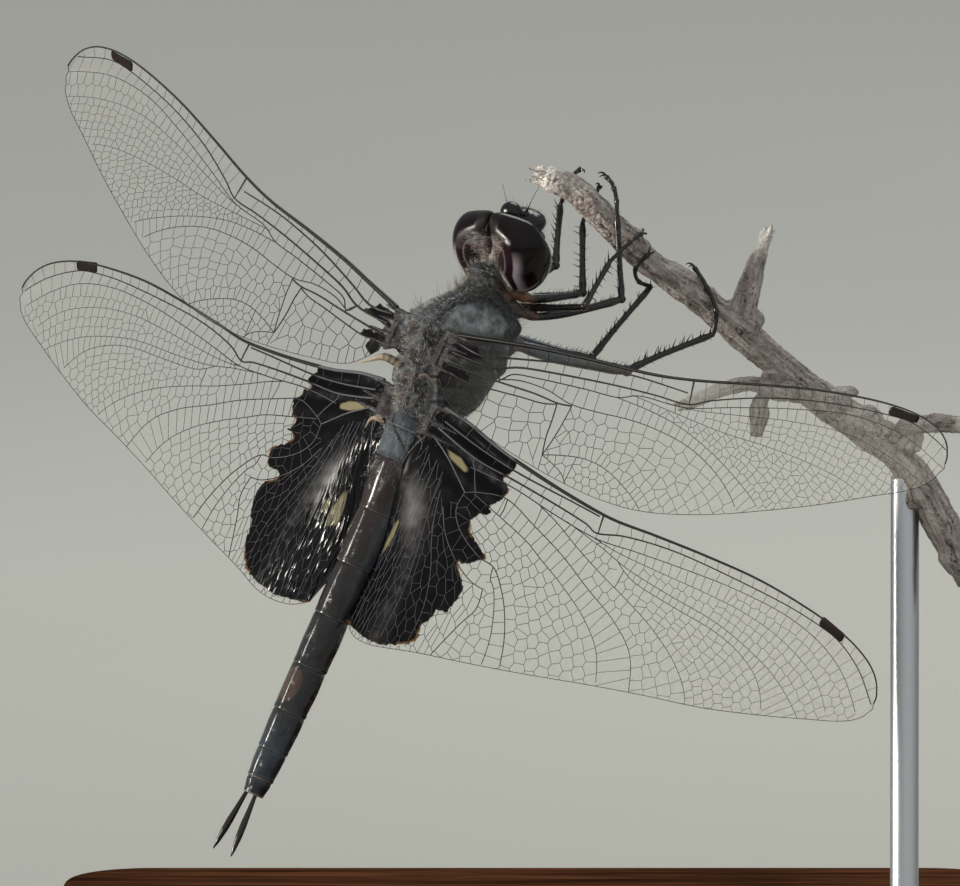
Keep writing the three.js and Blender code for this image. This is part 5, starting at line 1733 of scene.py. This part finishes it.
def makePerch():
    draw = np.random.default_rng(53)
    shapes = [barkTube(twig["line"], twig["radius"], 61)]
    for order, (line, radii) in enumerate(offshoots.values()):
        line = [np.array(p, float) for p in line]
        inner = line[0] + (nearestOnTwig(line[0]) - line[0]) * 0.7
        shapes.append(barkTube([inner, *line], [radii[0] * 1.25, *radii], 70 + order, 24, 60))
    # ragged ends: slivers of torn wood
    for line, radius, count, reach, _ in brokenEnds:
        end, inside = np.array(line[-1], float), np.array(line[-2], float)
        ahead = (end - inside) / norm(end - inside)
        for _ in range(count):
            aside = draw.normal(size=3)
            aside -= ahead * (aside @ ahead)
            aside *= radius * draw.uniform(0.3, 0.85) / norm(aside)
            tip = end + ahead * reach * draw.uniform(0.3, 1) + aside * draw.uniform(0.8, 1.5)
            spine = smoothLine([end - ahead * 0.6 + aside * 0.9, end + ahead * 0.2 + aside, tip], 12)
            shapes.append(closeRings(tubeRings(spine, [0.2, 0.17, 0.12, 0.06], 8)))
    for seed, (centre, size) in enumerate(lumps, 1):
        shapes.append(barkLump(centre, size, seed))
    points, faces = meltShapes(shapes, 0.11, 3)
    grain, spoke = barkGrain(points)
    fissure = ripple(grain * (1, 1, 0.55), 0.62, 81) + 0.6 * ripple(grain * (1, 1, 1.6), 0.36, 82)
    crack = ramp(-abs(fissure), -0.2, 0) * ramp(ripple(points, 3, 83), -0.7, 0.2)
    plates = ripple(grain * (1, 1, 2.4), 0.5, 84) * 0.035
    plates += ripple(points, 0.3, 85) * 0.03 + ripple(points, 1.6, 86) * 0.05
    points = points + spoke * (plates - 0.13 * crack)[:, None]
    bare = np.zeros(len(points))
    for line, *_, reach in brokenEnds:
        bare = np.maximum(bare, ramp(-norm(points - line[-1], axis=1), -reach, -reach * 0.35))
    x = points[:, 0]
    lichen = np.clip(0.25 + bell(x, 33.5, 3.2) + 0.4 * bell(x, 41, 2) + 0.3 * bell(x, 12, 3), 0, 1)
    bark = newMesh("twigBark", points, faces, perchFrame, grain=grain, crack=crack * 0.9 * (1 - 0.7 * bare),
                   lichen=lichen, bare=bare * 0.95)
    settle(bark, newMaterial("weathered bark", barkNodes), ["perch_twig", *offshoots])
    print("stage: perch made", len(points))


# Stand: a walnut base and one steel rod
stand = {"size": (74, 52), "thickness": 5, "corner": 7, "edge": 0.7, "rodAt": 37.2, "rodRadius": 1.1}


# Walnut: planed and oiled, open grain running along the base, satin.
def walnutNodes(add):
    long = add("Mapping", {"Vector": "@place", "Scale": (0.05, 0.6, 0.6)})
    bent = add("Mix VECTOR", [0.35, long, add("TexNoise", [long, 0.35, 3], out="Color")])
    rings = add("TexNoise", [bent, 1.6, 6, 0.62])
    pores = add("TexNoise", [
        add("Mapping", {"Vector": "@place", "Scale": (0.35, 6, 6)}), 1, 2,
    ])
    wood = add("ValToRGB", [rings], stops=[
        (0.3, "#23150e"), (0.48, "#402719"), (0.62, "#5b3a26"), (0.8, "#6e4a31"),
    ])
    colour = add("Mix RGBA", [add("MapRange", [pores, 0.62, 0.72, 0, 0.55]), wood, "#1a0f0a"])
    bump = add("Bump", {"Height": pores, "Strength": 0.15, "Distance": 0.0001})
    return {
        "Base Color": colour, "Roughness": 0.6, "Specular IOR Level": 0, "Normal": bump,
    }


# Steel: a turned rod, finely brushed round, satin bright.
def steelNodes(add):
    lines = add("TexNoise", [add("Mapping", {"Vector": "@place", "Scale": (0.3, 0.3, 14)}), 1, 3])
    rough = add("MapRange", [lines, 0, 1, 0.22, 0.42])
    bump = add("Bump", {"Height": lines, "Strength": 0.12, "Distance": 0.00004})
    return {
        "Base Color": "#b9bcbf", "Metallic": 1, "Roughness": rough, "Normal": bump,
    }


def slabShape():
    halfX, halfY = (s / 2 for s in stand["size"])
    edge, top = stand["edge"], stand["thickness"]
    rows = [(0.5, 0), (0.15, 0), (0, 0.15)]
    rows += [(edge * (1 - cos(t)), top - edge * (1 - sin(t))) for t in np.linspace(0, pi / 2, 9)]
    rows.append((1.6, top))
    rings = []
    for inset, height in rows:
        radius = stand["corner"] - inset
        ring = []
        for quarter, (sx, sy) in enumerate(((1, 1), (-1, 1), (-1, -1), (1, -1))):
            for t in np.linspace(0, pi / 2, 13):
                angle = t + quarter * pi / 2
                ring.append((sx * (halfX - stand["corner"]) + radius * cos(angle),
                             sy * (halfY - stand["corner"]) + radius * sin(angle), height))
        rings.append(ring)
    return closeRings(np.array(rings))


def latheShape(profile, centre, sides=40):
    # turned about an upright axis; the profile is radius and height from the bottom up
    angle = np.linspace(0, 2 * pi, sides, endpoint=False)
    x, y = centre
    return closeRings(np.array([[(r * cos(a) + x, r * sin(a) + y, z) for a in angle] for r, z in profile]))


def makeStand():
    points, faces = slabShape()
    slab = newMesh("standSlab", points, faces, standFrame)
    settle(slab, newMaterial("oiled walnut", walnutNodes), ["stand_base"], smooth=False)
    for face in slab.data.polygons:
        face.use_smooth = abs(face.normal.z) < 0.999 and len(face.vertices) == 4
    world = placePoints(twigLine, Matrix.Scale(1000, 4) @ perchFrame)
    rodX = pose["bodyShift"][0] + stand["rodAt"]
    crossing = world[abs(world[:, 0] - rodX).argmin()]
    radius, floor = stand["rodRadius"], stand["thickness"]
    top = crossing[2] - 0.7
    profile = [
        (radius * 2.1, floor - 0.2), (radius * 2.1, floor + 0.5), (radius * 1.95, floor + 0.75),
        (radius * 1.15, floor + 0.95), (radius, floor + 1.2), (radius, top - 0.3), (radius * 0.8, top),
    ]
    points, faces = latheShape(profile, (rodX, crossing[1]))
    rod = newMesh("standRod", points, faces, standFrame)
    settle(rod, newMaterial("brushed steel", steelNodes), ["stand_rod"], smooth=False)
    for face in rod.data.polygons:
        face.use_smooth = abs(face.normal.z) < 0.6
    print("stage: stand made")


# Everything made in order
makeWings()
makeWingRoots()
makeThorax()
makeAbdomen()
makeHead()
makeLegs()
makePerch()
makeStand()


# Floor, camera and lights
def paperNodes(add):
    cloud = add("TexNoise", [add("TexCoord", out="Object"), 6, 2])
    tone = add("ValToRGB", [cloud], stops=[(0.3, "#b2b3ac"), (0.7, "#b6b7b0")])
    return {"Base Color": tone, "Roughness": 0.9, "Specular IOR Level": 0.1}


def makeFloor():
    mesh = bpy.data.meshes.new("floor")
    mesh.from_pydata([(-3, -4, 0), (3, -4, 0), (3, 6, 0), (-3, 6, 0)], [], [(0, 1, 2, 3)])
    mesh.materials.append(newMaterial("pale paper", paperNodes))
    newItem("floor", mesh)


camera = {"aim": (-4.615, -4.971, 42.65), "elevation": 8, "distance": 3000, "lens": 1462.5}


def makeCamera():
    data = bpy.data.cameras.new("camera")
    data.lens, data.sensor_width, data.clip_start, data.clip_end = camera["lens"], 36, 0.1, 30
    item = newItem("camera", data)
    lift = radians(camera["elevation"])
    back = Vector((0, -cos(lift), sin(lift))) * camera["distance"]
    item.location = (Vector(camera["aim"]) + back) * 0.001
    item.rotation_euler = (pi / 2 - lift, 0, 0)
    bpy.context.scene.camera = item


lamps = {
    # name: place and aim in metres, width and height in metres, spread in degrees, power in watts, colour
    "key": ((-0.52, -0.1, 0.17), (-0.005, 0, 0.075), 0.6, 0.07, 30, 0.46, "#fff8ee"),
    "back": ((0.15, 0.45, 0.60), (0, 0, 0.04), 0.40, 0.30, 180, 1.6, "#ffffff"),
}


def makeLights():
    for name, (place, aim, width, height, spread, power, colour) in lamps.items():
        data = bpy.data.lights.new(name, "AREA")
        data.shape, data.size, data.size_y = "RECTANGLE", width, height
        data.energy, data.color, data.spread = power, shade(colour)[:3], radians(spread)
        item = newItem(name, data)
        item.location = place
        item.rotation_euler = (Vector(aim) - Vector(place)).to_track_quat("-Z", "Y").to_euler()
    world = bpy.data.worlds.new("studio")
    bpy.context.scene.world = world
    world.use_nodes = True
    tree = world.node_tree
    tree.nodes.clear()
    # a wide soft light overhead, brightest behind the camera
    add = partial(addNode, tree)
    way = add("TexCoord", out="Generated")
    toward = add("VectorMath DOT_PRODUCT", [way, (0.25, -0.6, 0.76)])
    strength = add("MapRange SMOOTHSTEP", [toward, 0, 1, 0.37, 0.8])
    sky = add("Background", {"Color": "#e8eae9", "Strength": strength})
    add("OutputWorld", {"Surface": sky})
    bpy.context.scene.view_settings.view_transform = "Standard"
    bpy.context.scene.cycles.transparent_max_bounces = 24


makeFloor()
makeCamera()
makeLights()
print("stage: floor, camera and lights set")
